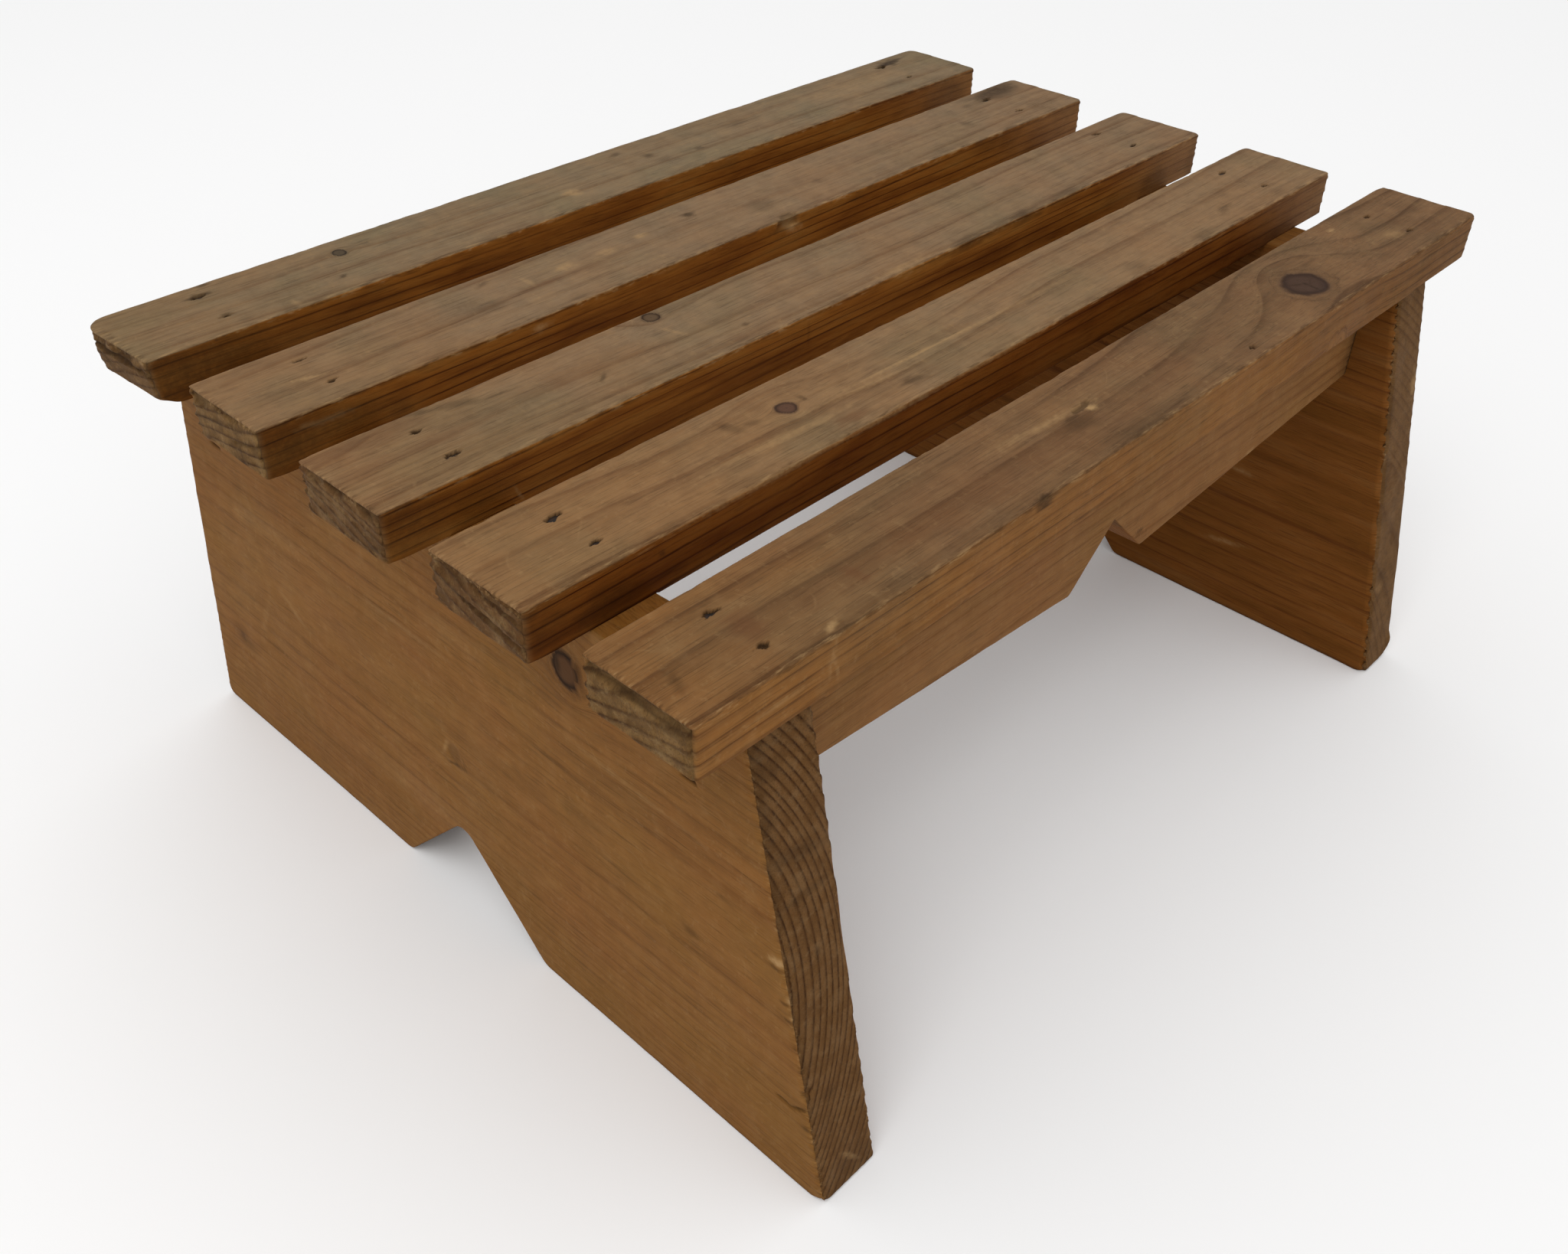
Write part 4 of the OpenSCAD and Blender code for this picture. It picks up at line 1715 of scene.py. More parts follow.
@dataclass
class Seat:
    """The five slats, from slat_1 at the back to slat_5 at the front, with the photo's rings and marks."""

    slot: str = "slat_pine"

    def back_slat(self) -> Slat:
        """Describes slat_1, with a small knot near its left end.

        Returns:
            The slat.
        """
        return Slat(
            "slat_1", self.slot,
            TracedRings((
                ((0, 12), (50, 15), (82, 14.5), (97, 13), (112, 15.5), (170, 17), (300, 16), (472, 13)),
                ((0, 23.5), (60, 26), (100, 27), (150, 30), (230, 32), (472, 34)),
                ((0, 41), (60, 42.5), (140, 46), (472, 50)),
            ), depths=(4.8, 8.4, 12.2, 16.0)),
            # The most rubbed of the five: an olive, dusty top with weak rings.
            replace(
                SLAT_PINE, name="olive_worn_pine_slat", dull_early="7c6b53", end_early="604528",
                cool="6a6245", rosy="7d6344", knot="4d4030", knot_rim="1f1812", ring_strength=0.7,
            ),
            seed=11, holes=(1.0, 0.3, 1.0, 0.4), left_reach=4.0, corners=(9.0, 2.5, 4.0, 2.0),
            tuck=2.0, under=3.0, skew=2.3, right_dust=0.45, dull_left=0.75, dull_right=1.0,
            front_marks=(
                # The first stain, broad at the left end, is painted shade.
                stain_and_shade(2, 11, 45, 14, 0.7), stain_and_shade(60, 12, 40, 8, 0.25), stain_and_shade(452, 8, 14, 8, 0.35),
                stain_and_shade(2, 4.8, 14, 0.8, 0.6), stain_and_shade(285, 4, 8, 3, 0.25), stain_and_shade(210, 15, 50, 3, 0.2),
            ),
            end_marks=(
                # The stain on the dent at 21 is painted shade in that crack.
                dent(21, 5.8, 21, 0.9, 1.5, 1), stain_and_shade(21, 5.8, 21, 1.3, 0.9, 1), dent(12, 2.5, 3.5, 3, 1),
                dent(27, 2.2, 5, 3, 1.6), dent(2, 4, 3, 6, 1.5), stain_and_shade(10, 9, 5, 0.8, 0.4, 20),
            ),
            knots=(Knot(97, 12.5, 3.0, 3.4, parting=0.9),),
            marks=(
                stain_and_shade(445, 7.5, 8, 3, 0.9, -6), stain_and_shade(440, 8.5, 2.6, 1.6, 1),
                stain_and_shade(86, 32.5, 1.6, 1.1, 0.7, -30), stain_and_shade(43, 2, 2.5, 1.2, 0.6),
                stain_and_shade(36.4, 9.4, 4.6, 1.7, 0.9), stain_and_shade(36, 31, 3, 1.4, 0.45), stain_and_shade(248, 8, 2.6, 1.8, 0.55),
                stain_and_shade(259, 19.5, 2.6, 2.2, 0.6), stain_and_shade(283, 28.5, 2.4, 1.5, 0.5),
                stain_and_shade(320, 17, 12, 2.4, 0.3), pale(205, 29, 3.6, 3.8, 0.55), pale(60, 40, 1.2, 2.6, 0.4),
                pale(410, 20, 30, 9, 0.18),
            ),
        )

    def second_slat(self) -> Slat:
        """Describes slat_2, which has no knot.

        Returns:
            The slat.
        """
        return Slat(
            "slat_2", self.slot,
            TracedRings((
                ((0, 9), (30, 7.5), (60, 6), (110, 4.5), (240, 1), (472, -2)),
                ((0, 33.5), (40, 29.5), (60, 28), (100, 27), (130, 24.5), (170, 24), (300, 22.5), (472, 18)),
                ((0, 50), (200, 46), (300, 41), (472, 36)),
            ), depths=(5.2, 8.9, 12.8, 16.8)),
            # Nearly as rubbed: a greyish tan top.
            replace(SLAT_PINE, name="grey_worn_pine_slat"),
            seed=22, holes=(0.3, 0.4, 1.0, 0.6), right_dust=0.55, dull_left=0.65, dull_right=1.0,
            front_marks=(
                # The first stain, broad at the left end, is painted shade.
                stain_and_shade(0, 11, 38, 14, 0.68), stain_and_shade(470, 3, 14, 3, 0.25), stain_and_shade(400, 4, 16, 4, 0.3),
                stain_and_shade(30, 9, 24, 5, 0.3), stain_and_shade(52, 13, 6, 4, 0.35), pale(25, 6, 8, 1, 0.4),
                pale(17, 5, 3, 0.9, 0.45), pale(118, 4, 3.5, 1.4, 0.45), pale(255, 4, 4.5, 2.4, 0.6, 20),
                stain_and_shade(248, 4, 5, 1, 0.5), stain_and_shade(298, 3.5, 5, 1.2, 0.4), stain_and_shade(36, 16, 12, 3, 0.35),
            ),
            end_marks=(
                dent(6, 2, 7, 2.6, 1.4), dent(25, 1, 7, 2, 1), stain_and_shade(12, 8.5, 14, 0.7, 0.5, -13),
                # The stain on the dent at 34 is painted shade in that crack.
                stain_and_shade(34, 10, 9, 0.7, 0.5, -14), dent(34, 10, 9, 0.6, 0.6, -14), stain_and_shade(30, 13, 0.6, 4, 0.3),
            ),
            marks=(
                stain_and_shade(448, 6.5, 17, 6, 0.8, -6), stain_and_shade(225, 13, 2.8, 2, 0.75), stain_and_shade(255, 28, 6, 5, 0.3),
                stain_and_shade(293, 25.5, 2.4, 1.8, 0.4), stain_and_shade(401, 26, 3, 2.4, 0.4),
                stain_and_shade(120, 7, 3.4, 1, 0.4, -20), stain_and_shade(110, 25, 5, 3.6, 0.25), red(138, 23, 9, 1.6, 0.4),
                pale(153, 17, 4, 2.4, 0.5), pale(175, 17, 4.5, 3, 0.35), pale(195, 15, 3, 1.8, 0.5),
                pale(31, 25, 6, 0.8, 0.5, 18), pale(134, 17, 1, 4, 0.4), dent(254, 44.5, 5, 3, 1),
                pale(254, 44.5, 4, 2, 0.6),
            ),
        )

    def third_slat(self) -> Slat:
        """Describes slat_3, whose back line bends round a knot.

        Returns:
            The slat.
        """
        return Slat(
            "slat_3", self.slot,
            TracedRings((
                (
                    (0, 9.5), (15, 8), (30, 4.5), (45, 1), (70, -4), (115, -5), (127, -2), (134, 5),
                    (141, 10), (150, 11), (165, 9.5), (178, 7), (235, 6), (330, 7.5), (472, 5),
                ),
                ((0, 26.5), (30, 24.5), (100, 24), (170, 27), (260, 28.5), (350, 26), (420, 23.5), (472, 22)),
                ((0, 39), (50, 38), (100, 37.8), (200, 41), (472, 43)),
            ), depths=(3.9, 6.4, 9.2, 14.0, 19.0), layers_rise=-1),
            # A brown tan top over a darker sawn end.
            replace(SLAT_PINE, name="brown_worn_pine_slat", end_early="5c4126"),
            seed=33, holes=(0.3, 0.7, 0.5, 0.5), right_dust=0.65, sag=1.3, dull_left=0.55, dull_right=0.95,
            front_marks=(
                # The first stain, broad at the left end, is painted shade.
                stain_and_shade(2, 9, 24, 14, 0.55), stain_and_shade(28, 12, 20, 6, 0.35), pale(51, 16, 0.5, 3.4, 0.35, -25),
                stain_and_shade(192, 8, 0.6, 5, 0.3), stain_and_shade(20, 17, 20, 1.6, 0.3), stain_and_shade(436, 14, 10, 6, 0.25),
                stain_and_shade(470, 10, 5, 9, 0.3), stain_and_shade(300, 1.5, 30, 1.6, 0.3),
            ),
            end_marks=(
                dent(21, 1, 5, 2.6, 1.6), dent(9, 2, 5, 2, 0.9), dent(39, 1.5, 6, 3, 1.3),
                stain_and_shade(8, 7.5, 4, 0.8, 0.5), stain_and_shade(30, 9, 0.6, 4, 0.25), stain_and_shade(38, 16, 7, 1, 0.4, -20),
            ),
            knots=(Knot(147.5, 4.5, 4.0, 3.6, parting=0.7),),
            marks=(
                stain_and_shade(57, 6.5, 8, 2.6, 0.5, 22), stain_and_shade(44, 2.5, 5, 1.8, 0.45, 20),
                stain_and_shade(70, 11, 8, 0.8, 0.4, 6), stain_and_shade(104, 27.5, 3.4, 0.9, 0.55, -35),
                stain_and_shade(169, 33.5, 1.6, 1.2, 0.5), stain_and_shade(290, 44, 9, 3, 0.5), stain_and_shade(330, 43.5, 10, 3, 0.5),
                stain_and_shade(362, 43, 9, 3, 0.4), red(20, 5, 24, 5, 0.35), red(30, 21, 26, 3, 0.3),
                pale(146, 19, 0.9, 5, 0.35, -20), pale(250, 42, 12, 2, 0.4),
            ),
        )

    def fourth_slat(self) -> Slat:
        """Describes slat_4, with a round knot near its left end.

        Returns:
            The slat.
        """
        return Slat(
            "slat_4", self.slot,
            TracedRings((
                (
                    (0, 6.5), (60, 8.5), (92, 8.5), (107, 6.5), (122, 3.6), (145, 3), (160, 5.5), (180, 7.3),
                    (240, 6), (330, 5), (472, 3),
                ),
                (
                    (0, 22), (40, 22.5), (100, 22), (120, 21), (150, 21), (170, 24), (190, 25.5), (260, 25),
                    (320, 22.5), (400, 22), (472, 20),
                ),
                ((0, 43), (120, 46), (300, 43), (472, 41)),
            ), depths=(2.5, 8.0, 13.0, 18.0), layers_rise=-1, outward=-1),
            # Golden at its left half, with the darkest amber front of the five, partly painted shade in the
            # gap before slat_5.
            replace(
                SLAT_PINE, name="golden_worn_pine_slat", dull_early="846c51", end_early="573b20",
                deep_early="764416", deep_late="300f02", deep_stain="461c05", deep_faded="7d5022",
                knot="573d2e", knot_rim="33231a",
            ),
            seed=44, holes=(1.0, 0.6, 0.9, 0.3), right_dust=0.65, dull_left=0.4, dull_right=0.9,
            gold_reach=230.0,
            front_marks=(
                # The first stain, broad at the left end, is painted shade.
                stain_and_shade(3, 10, 18, 13, 0.45), stain_and_shade(28, 14, 18, 6, 0.5), pale(105, 1, 30, 0.9, 0.4),
                stain_and_shade(52, 6, 1.2, 1, 0.7), stain_and_shade(1, 3, 5, 3, 0.6), stain_and_shade(428, 17, 8, 3, 0.4),
                pale(160, 1.2, 26, 0.8, 0.4), pale(215, 0.8, 22, 0.8, 0.35), stain_and_shade(26, 18, 14, 1.4, 0.5),
            ),
            knots=(Knot(134.5, 18, 4.4, 4.1, parting=0.9),),
            marks=(
                stain_and_shade(111, 14, 2.2, 4, 0.4, -20), stain_and_shade(119, 17, 3.4, 1.6, 0.35, 20),
                stain_and_shade(181, 36, 5.5, 1.8, 0.5, 12), stain_and_shade(143.5, 17, 0.7, 2.4, 0.6),
                red(147, 38, 6, 2.6, 0.5), stain_and_shade(398, 33, 5.5, 1.8, 0.4, -20), stain_and_shade(320, 38, 7, 3, 0.25),
                stain_and_shade(368, 41, 8, 3, 0.4), pale(200, 24.3, 42, 0.6, 0.55, 1),
                pale(120, 31, 24, 1.6, 0.35, 3), pale(165, 27, 24, 1.2, 0.3, 4),
                pale(250, 25, 30, 0.8, 0.3),
            ),
            end_marks=(
                # Stains on dents at the same places are painted shade in those cracks.
                dent(10, 3, 6, 4, 0.9), stain_and_shade(16, 10.5, 16, 0.8, 0.5, 14), dent(30, 13, 16, 0.7, 0.8, 10),
                stain_and_shade(30, 13, 16, 0.9, 0.6, 10), dent(33, 4.5, 12, 0.6, 0.7, 6),
                stain_and_shade(33, 4.5, 12, 0.7, 0.5, 6),
            ),
        )

    def front_slat(self) -> Slat:
        """Describes slat_5, with the largest knot at its right.

        Returns:
            The slat.
        """
        return Slat(
            "slat_5", self.slot,
            TracedRings((
                (
                    (0, 7), (130, 8.3), (170, 8.5), (200, 6.8), (240, 4.5), (300, -3), (350, -14),
                    (400, -2), (472, 3),
                ),
                (
                    (0, 21.3), (50, 21.5), (100, 23), (140, 24), (170, 23.5), (236, 21.4), (275, 17),
                    (300, 12.4), (320, 8.5), (336, 5), (355, 3), (374, 5), (390, 10), (401, 15),
                    (412, 21.5), (425, 22.2), (472, 19),
                ),
                (
                    (0, 44.5), (150, 44.3), (200, 43.8), (225, 42), (236, 40.5), (262, 37.4), (285, 33.6),
                    (305, 30), (318, 25.5), (330, 19.3), (340, 12.4), (350, 8.2), (358, 7.3), (366, 8.3),
                    (375, 11), (383, 16.8), (390, 23), (397, 29), (405, 32.6), (416, 34), (440, 33),
                    (472, 32),
                ),
                (
                    (0, 64), (250, 60), (300, 55), (325, 50), (340, 46.5), (353, 45), (368, 46.5), (384, 50),
                    (400, 54), (472, 60),
                ),
            ), depths=(3.0, 8.5, 13.5, 18.0), outward=-1),
            # The least rubbed: reddish, with its rings drawn clearly.
            replace(
                SLAT_PINE, name="reddish_worn_pine_slat", early="81592f", late="53331a",
                dull_early="725a43", dull_late="4d3824", cool="63533a", rosy="7c5637",
                knot="4c372b", knot_rim="35241c", ring_strength=1.0,
            ),
            seed=55, holes=(0.9, 0.4, 0.3, 0.3), corners=(2.5, 2.5, 1.5, 3.0), right_reach=2.8,
            # Its open front gets little of the painted shade of the gaps.
            sag=0.9, dull_left=0.25, dull_right=0.75, gold_reach=150.0, shelter=0.15,
            front_marks=(
                pale(52, 8, 0.6, 5, 0.35, 12), pale(54, 11, 0.5, 4, 0.3, -8),
                stain_and_shade(151, 1.2, 4.5, 1.4, 0.6), stain_and_shade(348, 4, 12, 3, 0.25), pale(30, 11, 12, 0.7, 0.3),
                stain_and_shade(372, 3, 3, 1.2, 0.4), stain_and_shade(420, 9, 90, 16, 0.34), stain_and_shade(388, 7, 1.2, 1, 0.6),
                stain_and_shade(362, 9, 8, 9, 0.25), stain_and_shade(250, 9, 120, 16, 0.1),
            ),
            knots=(Knot(353.5, 26.0, 11.0, 9.4, lean_across=0.4, parting=0.2, collar=1.45),),
            marks=(
                stain_and_shade(353.5, 29, 0.8, 5.5, 0.8, 8), stain_and_shade(350, 24, 4, 0.7, 0.7, 30),
                stain_and_shade(356, 27, 5, 0.6, 0.5, -25), stain_and_shade(344.5, 27, 2.2, 5, 0.3), stain_and_shade(362, 26, 2, 5, 0.3),
                stain_and_shade(353.5, 26, 16, 13, 0.28), stain_and_shade(353.5, 26, 12.5, 10.5, 0.3),
                dent(207, 19.5, 6.5, 1.2, 0.9, -6), pale(209.5, 21.8, 1.6, 1.7, 0.95),
                pale(190, 18, 20, 1.4, 0.4, 4), pale(178, 16.5, 8, 1, 0.3, 8), stain_and_shade(197, 25.5, 8, 4, 0.45),
                stain_and_shade(198, 21.8, 4, 1.2, 0.6), stain_and_shade(9, 27, 1.6, 4, 0.4, 20), red(39, 25, 5, 6, 0.6),
                red(79, 29, 2.6, 5, 0.6), red(140, 28, 90, 6, 0.3), red(120, 17, 30, 5, 0.15),
                red(240, 30, 60, 5, 0.25, -8), Mark(Blemish.PIT, 290, 39, 1.6, 1, 1.2, 15),
                pale(55, 41, 2.4, 1, 0.9, -15), pale(410.5, 8, 1.5, 0.9, 0.8),
                stain_and_shade(151, 44.5, 4, 1.6, 0.8), stain_and_shade(440, 26, 9, 4, 0.2), pale(427, 29, 5, 3, 0.3),
                stain_and_shade(425, 17, 5, 4, 0.2), stain_and_shade(120, 42, 60, 3, 0.25), stain_and_shade(210, 41, 30, 4, 0.3),
                red(300, 21, 40, 5, 0.2, -16),
            ),
            end_marks=(
                # The stain on the dent at 22 is painted shade in that crack.
                dent(20, 2, 26, 3.2, 1.6), stain_and_shade(22, 4.6, 24, 0.8, 0.7, 2), dent(22, 4.6, 24, 0.8, 0.8, 2),
                dent(30, 9, 0.6, 3, 0.5), stain_and_shade(38, 7, 6, 1.2, 0.4), dent(36, 12, 7, 0.6, 0.5, 4),
            ),
        )

    def build(self) -> list[bpy.types.Object]:
        """Builds the slats from the back to the front."""
        slats = (self.back_slat, self.second_slat, self.third_slat, self.fourth_slat, self.front_slat)
        return [slat().build() for slat in slats]


@dataclass
class Stand:
    """The two end boards and the two aprons between them."""

    board_slot: str = "board_pine"
    apron_slot: str = "apron_pine"

    def left_board(self) -> EndBoard:
        """Describes the left board, whose outer face the photo shows.

        Returns:
            The board.
        """
        return EndBoard(
            "left_end_board", self.board_slot,
            RoundRings(
                90.0, -107.0,
                (
                    109.5, 112.1, 115.1, 118.9, 121.9, 124.9, 127.5, 130.3, 132.3, 135.1, 138.1, 140.5,
                    143.5, 146.3, 149.5, 152.9,
                ),
                ring_width=3.0, wander=0.5, seed=5,
            ),
            replace(BOARD_PINE, ring_strength=0.55),
            seed=66, arris=1.0, fine_marks=((373.0, 151.0), (56.0, 34.5), (324.0, 34.5)),
            knots=(Knot(271, 24, 6.5, 7.5, lean_across=-0.38, collar=1.3),),
            edge_marks=(
                pale(15.5, 183.5, 0.8, 4.5, 0.42, -40), stain_and_shade(3, 12, 4, 8, 0.4), stain_and_shade(2, 30, 3, 14, 0.4),
                stain_and_shade(9, 49, 12, 3, 0.35, 12), stain_and_shade(13, 66, 12, 1.6, 0.35), stain_and_shade(1, 60, 2, 16, 0.4),
                stain_and_shade(8, 18, 2, 3, 0.4), stain_and_shade(15, 90, 0.8, 1.6, 0.5), stain_and_shade(1, 120, 1.6, 30, 0.3),
                stain_and_shade(17, 188, 12, 6, 0.2), stain_and_shade(9, 148, 3, 2, 0.3),
            ),
            marks=(
                stain_and_shade(267.4, 23, 1, 5.4, 0.8, 8), stain_and_shade(272, 31, 5, 0.9, 0.6),
                dent(196, 108, 4.5, 5.5, 0.4), stain_and_shade(276.5, 21, 0.8, 4.5, 0.6, 12),
                stain_and_shade(271, 16.5, 5, 0.8, 0.6), stain_and_shade(271, 27, 14, 12, 0.22), stain_and_shade(275, 38.5, 26, 0.8, 0.3),
                stain_and_shade(262, 41.5, 20, 0.7, 0.28, 2), stain_and_shade(268, 71, 20, 1, 0.3, 4),
                stain_and_shade(272, 88, 12, 3, 0.24), stain_and_shade(238, 52, 30, 0.8, 0.25, -2),
                stain_and_shade(315, 49, 24, 0.9, 0.22, 3), stain_and_shade(70, 36, 40, 0.9, 0.25),
                stain_and_shade(110, 47, 45, 0.8, 0.22, 2), stain_and_shade(150, 124, 60, 0.8, 0.2),
                stain_and_shade(60, 78, 36, 0.8, 0.18), stain_and_shade(285, 100, 30, 0.9, 0.22, 4),
                stain_and_shade(205, 128, 50, 0.8, 0.2), pale(205, 46, 12, 5, 0.12), pale(175, 60, 25, 1, 0.2),
                pale(300, 56, 30, 1, 0.18, 3), red(128, 88, 14, 7, 0.22), stain_and_shade(215, 96, 45, 4, 0.16),
                stain_and_shade(60, 45, 50, 14, 0.12), pale(85, 60, 30, 5, 0.12), stain_and_shade(300, 62, 40, 6, 0.16),
                stain_and_shade(33, 143, 7, 6, 0.3), stain_and_shade(250, 40, 60, 5, 0.14), pale(170, 150, 40, 6, 0.1),
                stain_and_shade(110, 165, 40, 4, 0.14), pale(60, 120, 1, 12, 0.16, 30),
                pale(82, 150, 0.8, 9, 0.16, -20), stain_and_shade(345, 30, 18, 20, 0.12),
                pale(230, 160, 1, 8, 0.15, 20), stain_and_shade(160, 62, 30, 3, 0.14), stain_and_shade(12, 60, 12, 40, 0.12),
                stain_and_shade(197.5, 113.8, 5.5, 0.6, 0.8, -14), pale(191, 108, 0.8, 5, 0.3, 25),
                stain_and_shade(203, 108.6, 0.6, 3.4, 0.6, 8), stain_and_shade(325, 103.5, 4, 1.8, 0.55),
                stain_and_shade(33, 143, 2, 3.2, 0.65), pale(90, 98, 9, 1.4, 0.25, 35), stain_and_shade(243, 93, 8, 4, 0.2),
                # A stain in the same place as a dent is painted shade in that hollow.
                stain_and_shade(340, 75, 3, 1, 0.35), dent(368.5, 153, 3.4, 0.6, 0.8, 4),
                stain_and_shade(368.5, 153, 3.4, 0.7, 0.8, 4), dent(375, 151, 3.2, 0.6, 0.8, -32),
                stain_and_shade(375, 151, 3.2, 0.7, 0.8, -32), pale(363.5, 86, 2.6, 1.5, 0.75),
                stain_and_shade(363, 89, 2.8, 0.7, 0.6), pale(368.5, 95, 0.9, 1.5, 0.6),
                pale(369.5, 101, 1.3, 1.1, 0.65), stain_and_shade(367, 103, 1.8, 0.6, 0.7),
                pale(371, 107, 0.9, 1.3, 0.6), stain_and_shade(369, 110, 1.8, 0.6, 0.6),
                pale(372.5, 114, 0.9, 1.2, 0.5), dent(370.5, 92, 2.4, 1.6, 1.4),
                stain_and_shade(370.5, 92, 2, 1.2, 0.9), dent(372, 98, 1.8, 1.4, 1.2), stain_and_shade(372, 98, 1.6, 1, 0.9),
                dent(373, 104.5, 2.2, 1.5, 1.3), stain_and_shade(373, 104.5, 1.8, 1.1, 0.9),
                stain_and_shade(372, 121, 2, 0.6, 0.6), dent(374.5, 118, 1.6, 2, 1), stain_and_shade(374.5, 118, 1.4, 1.4, 0.8),
                stain_and_shade(376, 131, 1.4, 1.4, 0.6), dent(377, 142, 1.6, 2, 1), stain_and_shade(377, 142, 1.4, 1.4, 0.7),
                stain_and_shade(378.5, 159, 1.4, 1.2, 0.6),
            ),
        )

    def right_board(self) -> EndBoard:
        """Describes the right board, of which the photo shows the front edge.

        Returns:
            The board.
        """
        return EndBoard(
            "right_end_board", self.board_slot,
            RoundRings(
                255.0, -160.0,
                (
                    171.6, 174.2, 176.7, 180.2, 186.1, 190.8, 194.2, 203.0, 222.1, 240.1, 243.1, 248.4,
                    255.3, 261.6, 264.8, 269.6, 273.7, 276.9, 281.8, 286.8, 290.9,
                ),
                ring_width=3.4, wander=0.8, seed=9,
            ),
            # The greyer board, whose front edge is smoother and more even in colour.
            replace(
                BOARD_PINE, name="waxed_pine_right_board", deep_early="6e431a", deep_late="4b270d",
                deep_stain="5b3710", deep_faded="765029", end_early="604529", end_late="4a311a",
                end_dark="523a20", end_pale="6c5235", ring_strength=0.65, end_contrast=0.35,
            ),
            seed=77, arris=1.0, outer_side=1, end_share=0.9, front_foot_radius=2.4, sawn_arris=0.8,
            inner_wear=2.2, outer_wear=0.1, toe_radius=9.0, toe_taper=2.2,
            edge_marks=(
                pale(24, 52, 2.4, 5, 0.45), stain_and_shade(3, 58, 2, 10, 0.35), stain_and_shade(4, 92, 2.5, 9, 0.3),
                stain_and_shade(9, 143, 5, 3, 0.3), pale(8, 150, 3, 2, 0.2),
            ),
            marks=(pale(300, 115, 6.0, 1.0, 0.3), pale(300, 157, 9.0, 0.9, 0.35, -10.0)),
        )

    def front_apron(self) -> Apron:
        """Describes the front apron.

        Returns:
            The apron.
        """
        return Apron(
            "front_apron", self.apron_slot,
            RoundRings(heart_across=70.0, heart_depth=45.0, ring_width=3.4, seed=3),
            APRON_PINE, seed=88, arris=0.9, outer_side=-1,
            marks=(
                stain_and_shade(205, 52, 2, 1, 0.6), pale(290, 53, 3, 1.4, 0.4), stain_and_shade(372.6, 25, 0.9, 45, 0.9),
                stain_and_shade(371, 30, 4, 30, 0.25), red(330, 25, 30, 2, 0.3), red(340, 38, 28, 1.6, 0.3),
            ),
        )

    def back_apron(self) -> Apron:
        """Describes the back apron, which the slats hide in the photo.

        Returns:
            The apron.
        """
        return Apron(
            "back_apron", self.apron_slot,
            RoundRings(heart_across=-40.0, heart_depth=60.0, ring_width=3.2, seed=4),
            APRON_PINE, seed=99, arris=0.9, outer_side=1,
        )

    def build(self) -> list[bpy.types.Object]:
        """Builds the boards and the aprons."""
        timbers = (self.left_board, self.right_board, self.front_apron, self.back_apron)
        return [timber().build() for timber in timbers]


@dataclass
class Nails:
    """All the nails, which stay as the CAD has them."""

    finish: NailFinish = NailFinish()

    def dress(self) -> list[bpy.types.Object]:
        """Gives each nail node its finish.

        Returns:
            The nail nodes.
        """
        steel = self.finish.material()
        nodes = [node for name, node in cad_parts.items() if name.endswith("_nails")]
        for node in nodes:
            node.data.materials.clear()
            node.data.materials.append(steel)
            LOG.info("%s: dressed", node.name)
        return nodes


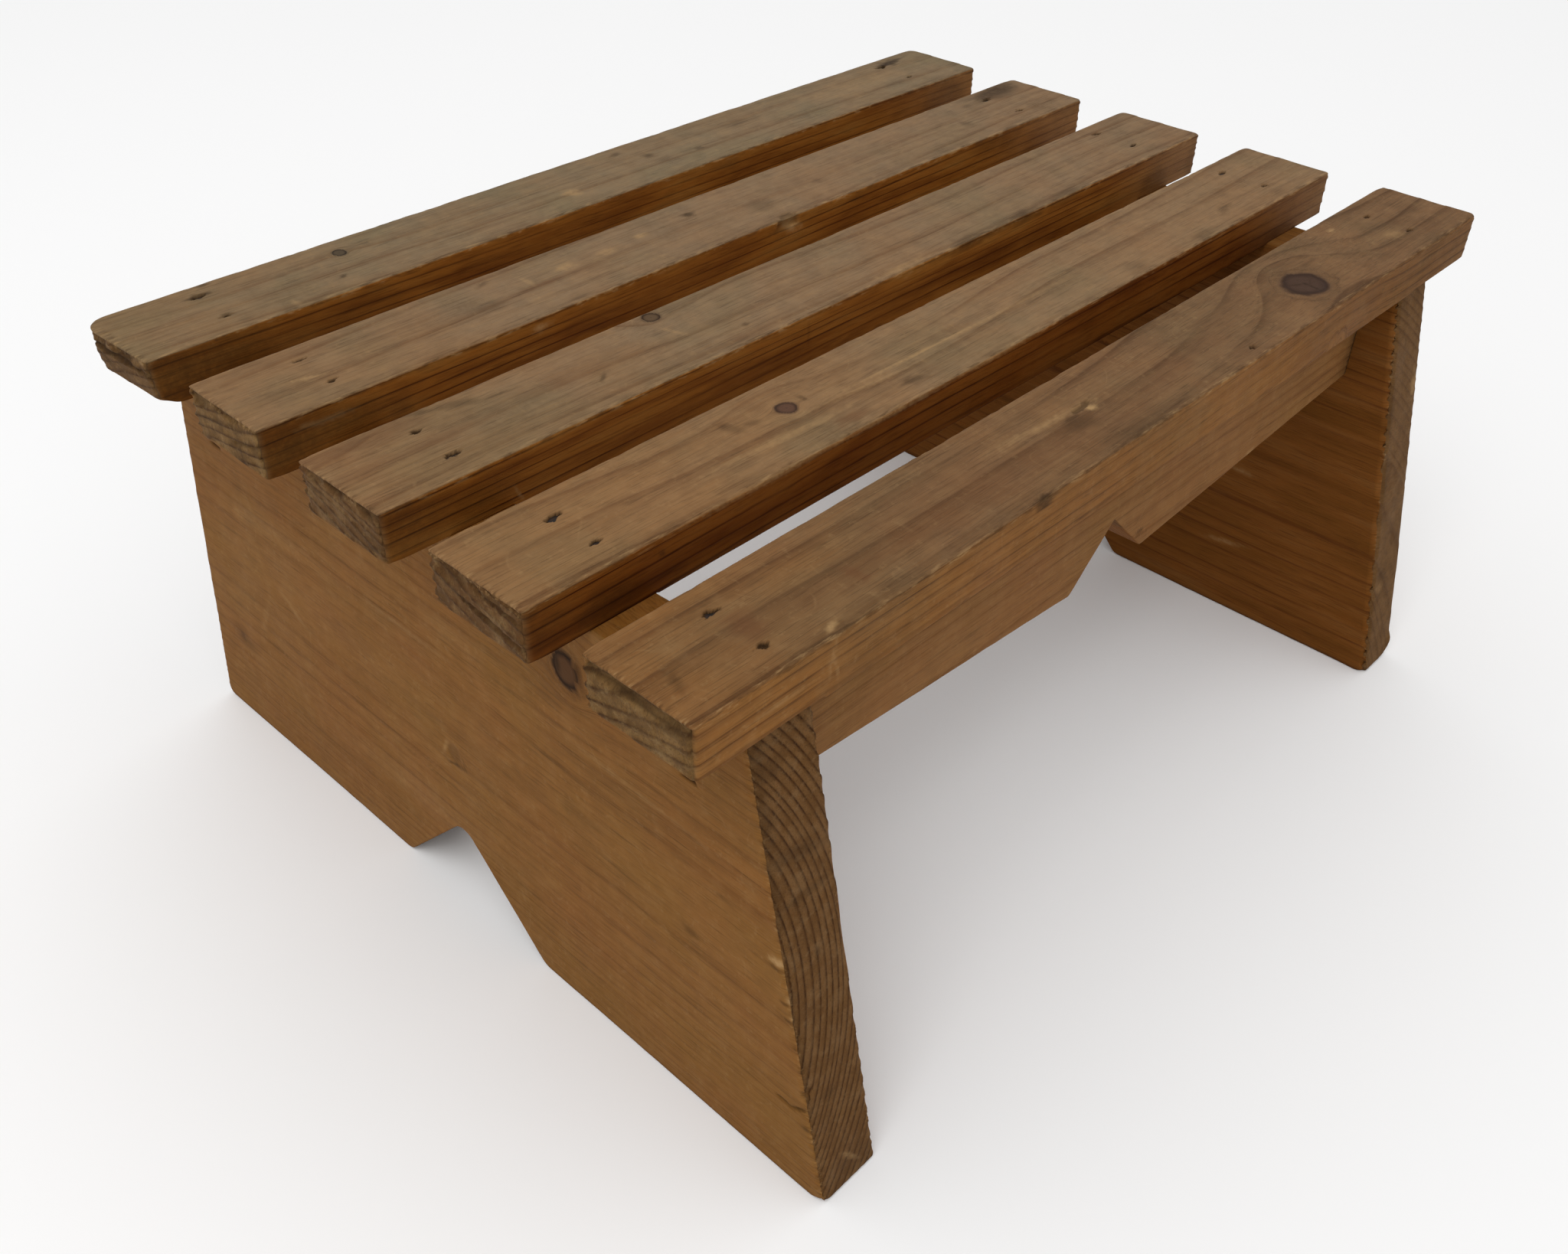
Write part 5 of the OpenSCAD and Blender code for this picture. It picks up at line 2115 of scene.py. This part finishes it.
@dataclass
class Studio:
    """A pale floor, an even sky, one soft lamp and the photograph's camera.

    The camera's middle and focal length are in the photograph's pixels, and its angles in degrees.
    """

    floor_colour: str = "fbfbfb"
    floor_size_m: float = 12.0
    sky_strength: float = 0.88
    lamp_place_m: Triple = (-1.2, -0.6, 1.9)
    lamp_aim_m: Triple = (0.0, 0.0, 0.1)
    lamp_size_m: float = 1.2
    lamp_watts: float = 12.0
    picture_width: float = 2048.0
    picture_height: float = 1638.0
    focal_px: float = 1921.95
    middle_x_px: float = 1031.76
    middle_y_px: float = 836.74
    azimuth: float = -47.346
    elevation: float = 38.544
    roll: float = 1.300
    camera_mm: Triple = (-425.4, -367.5, 465.8)
    sensor: float = 36.0

    def lay_floor(self) -> None:
        """Lays the floor, of plain white paper without a gloss."""
        sheet = bmesh.new()
        bmesh.ops.create_grid(sheet, x_segments=1, y_segments=1, size=self.floor_size_m / 2.0)
        mesh = bpy.data.meshes.new("studio_floor")
        sheet.to_mesh(mesh)
        sheet.free()
        paper, node = start_material("white_paper_floor")
        node("OutputMaterial", {"Surface": node("BsdfDiffuse", {"Color": self.floor_colour})})
        mesh.materials.append(paper)
        floor = bpy.data.objects.new("studio_floor", mesh)
        bpy.context.scene.collection.objects.link(floor)

    def light_sky(self) -> None:
        """Lights everything evenly, and shows white where the camera looks past the floor."""
        world = bpy.data.worlds.new("studio_sky")
        bpy.context.scene.world = world
        world.use_nodes = True
        world.node_tree.nodes.clear()
        node = partial(add_node, world.node_tree)
        seen = node("LightPath", output="Is Camera Ray")
        for ray in ("Is Glossy Ray", "Is Transmission Ray"):
            seen = node("Math", {0: seen, 1: node("LightPath", output=ray)}, operation="MAXIMUM")
        soft = node("Background", {"Color": "ffffff", "Strength": self.sky_strength})
        plain = node("Background", {"Color": "ffffff", "Strength": 1.0})
        node("OutputWorld", {"Surface": node("MixShader", {0: seen, 1: soft, 2: plain})})

    def hang_lamp(self) -> None:
        """Hangs one large, soft lamp to the left of the camera."""
        data = bpy.data.lights.new("key_lamp", "AREA")
        data.energy = self.lamp_watts
        data.size = self.lamp_size_m
        lamp = bpy.data.objects.new("key_lamp", data)
        lamp.location = self.lamp_place_m
        aim = Vector(self.lamp_aim_m) - Vector(self.lamp_place_m)
        lamp.rotation_euler = aim.to_track_quat("-Z", "Y").to_euler()
        bpy.context.scene.collection.objects.link(lamp)

    def set_camera(self) -> None:
        """Puts the camera where the photograph was taken."""
        turn = math.radians(self.azimuth)
        tilt = math.radians(self.elevation)
        back = Vector((math.sin(turn) * math.cos(tilt), -math.cos(turn) * math.cos(tilt), math.sin(tilt)))
        right = (-back).cross(Vector((0.0, 0.0, 1.0))).normalized()
        up = right.cross(-back)
        spin = math.radians(self.roll)
        side = right * math.cos(spin) + up * math.sin(spin)
        rise = up * math.cos(spin) - right * math.sin(spin)
        place = Matrix((side, rise, back)).transposed().to_4x4()
        place.translation = Vector(self.camera_mm) / MM_PER_M
        data = bpy.data.cameras.new("photo_camera")
        data.sensor_fit = "HORIZONTAL"
        data.sensor_width = self.sensor
        data.lens = self.sensor * self.focal_px / self.picture_width
        data.shift_x = (self.picture_width / 2.0 - self.middle_x_px) / self.picture_width
        data.shift_y = (self.middle_y_px - self.picture_height / 2.0) / self.picture_width
        data.clip_start = 0.01
        camera = bpy.data.objects.new("photo_camera", data)
        camera.matrix_world = place
        bpy.context.scene.collection.objects.link(camera)
        bpy.context.scene.camera = camera

    def build(self) -> None:
        """Sets up the whole studio."""
        bpy.context.scene.view_settings.view_transform = "Standard"
        self.lay_floor()
        self.light_sky()
        self.hang_lamp()
        self.set_camera()


def main() -> None:
    """Builds the stool's pieces around the frame, and the studio."""
    logging.basicConfig(level=logging.INFO, format="%(name)s %(message)s")
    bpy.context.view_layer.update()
    Seat().build()
    Stand().build()
    Nails().dress()
    Studio().build()


if __name__ == "__main__":
    main()
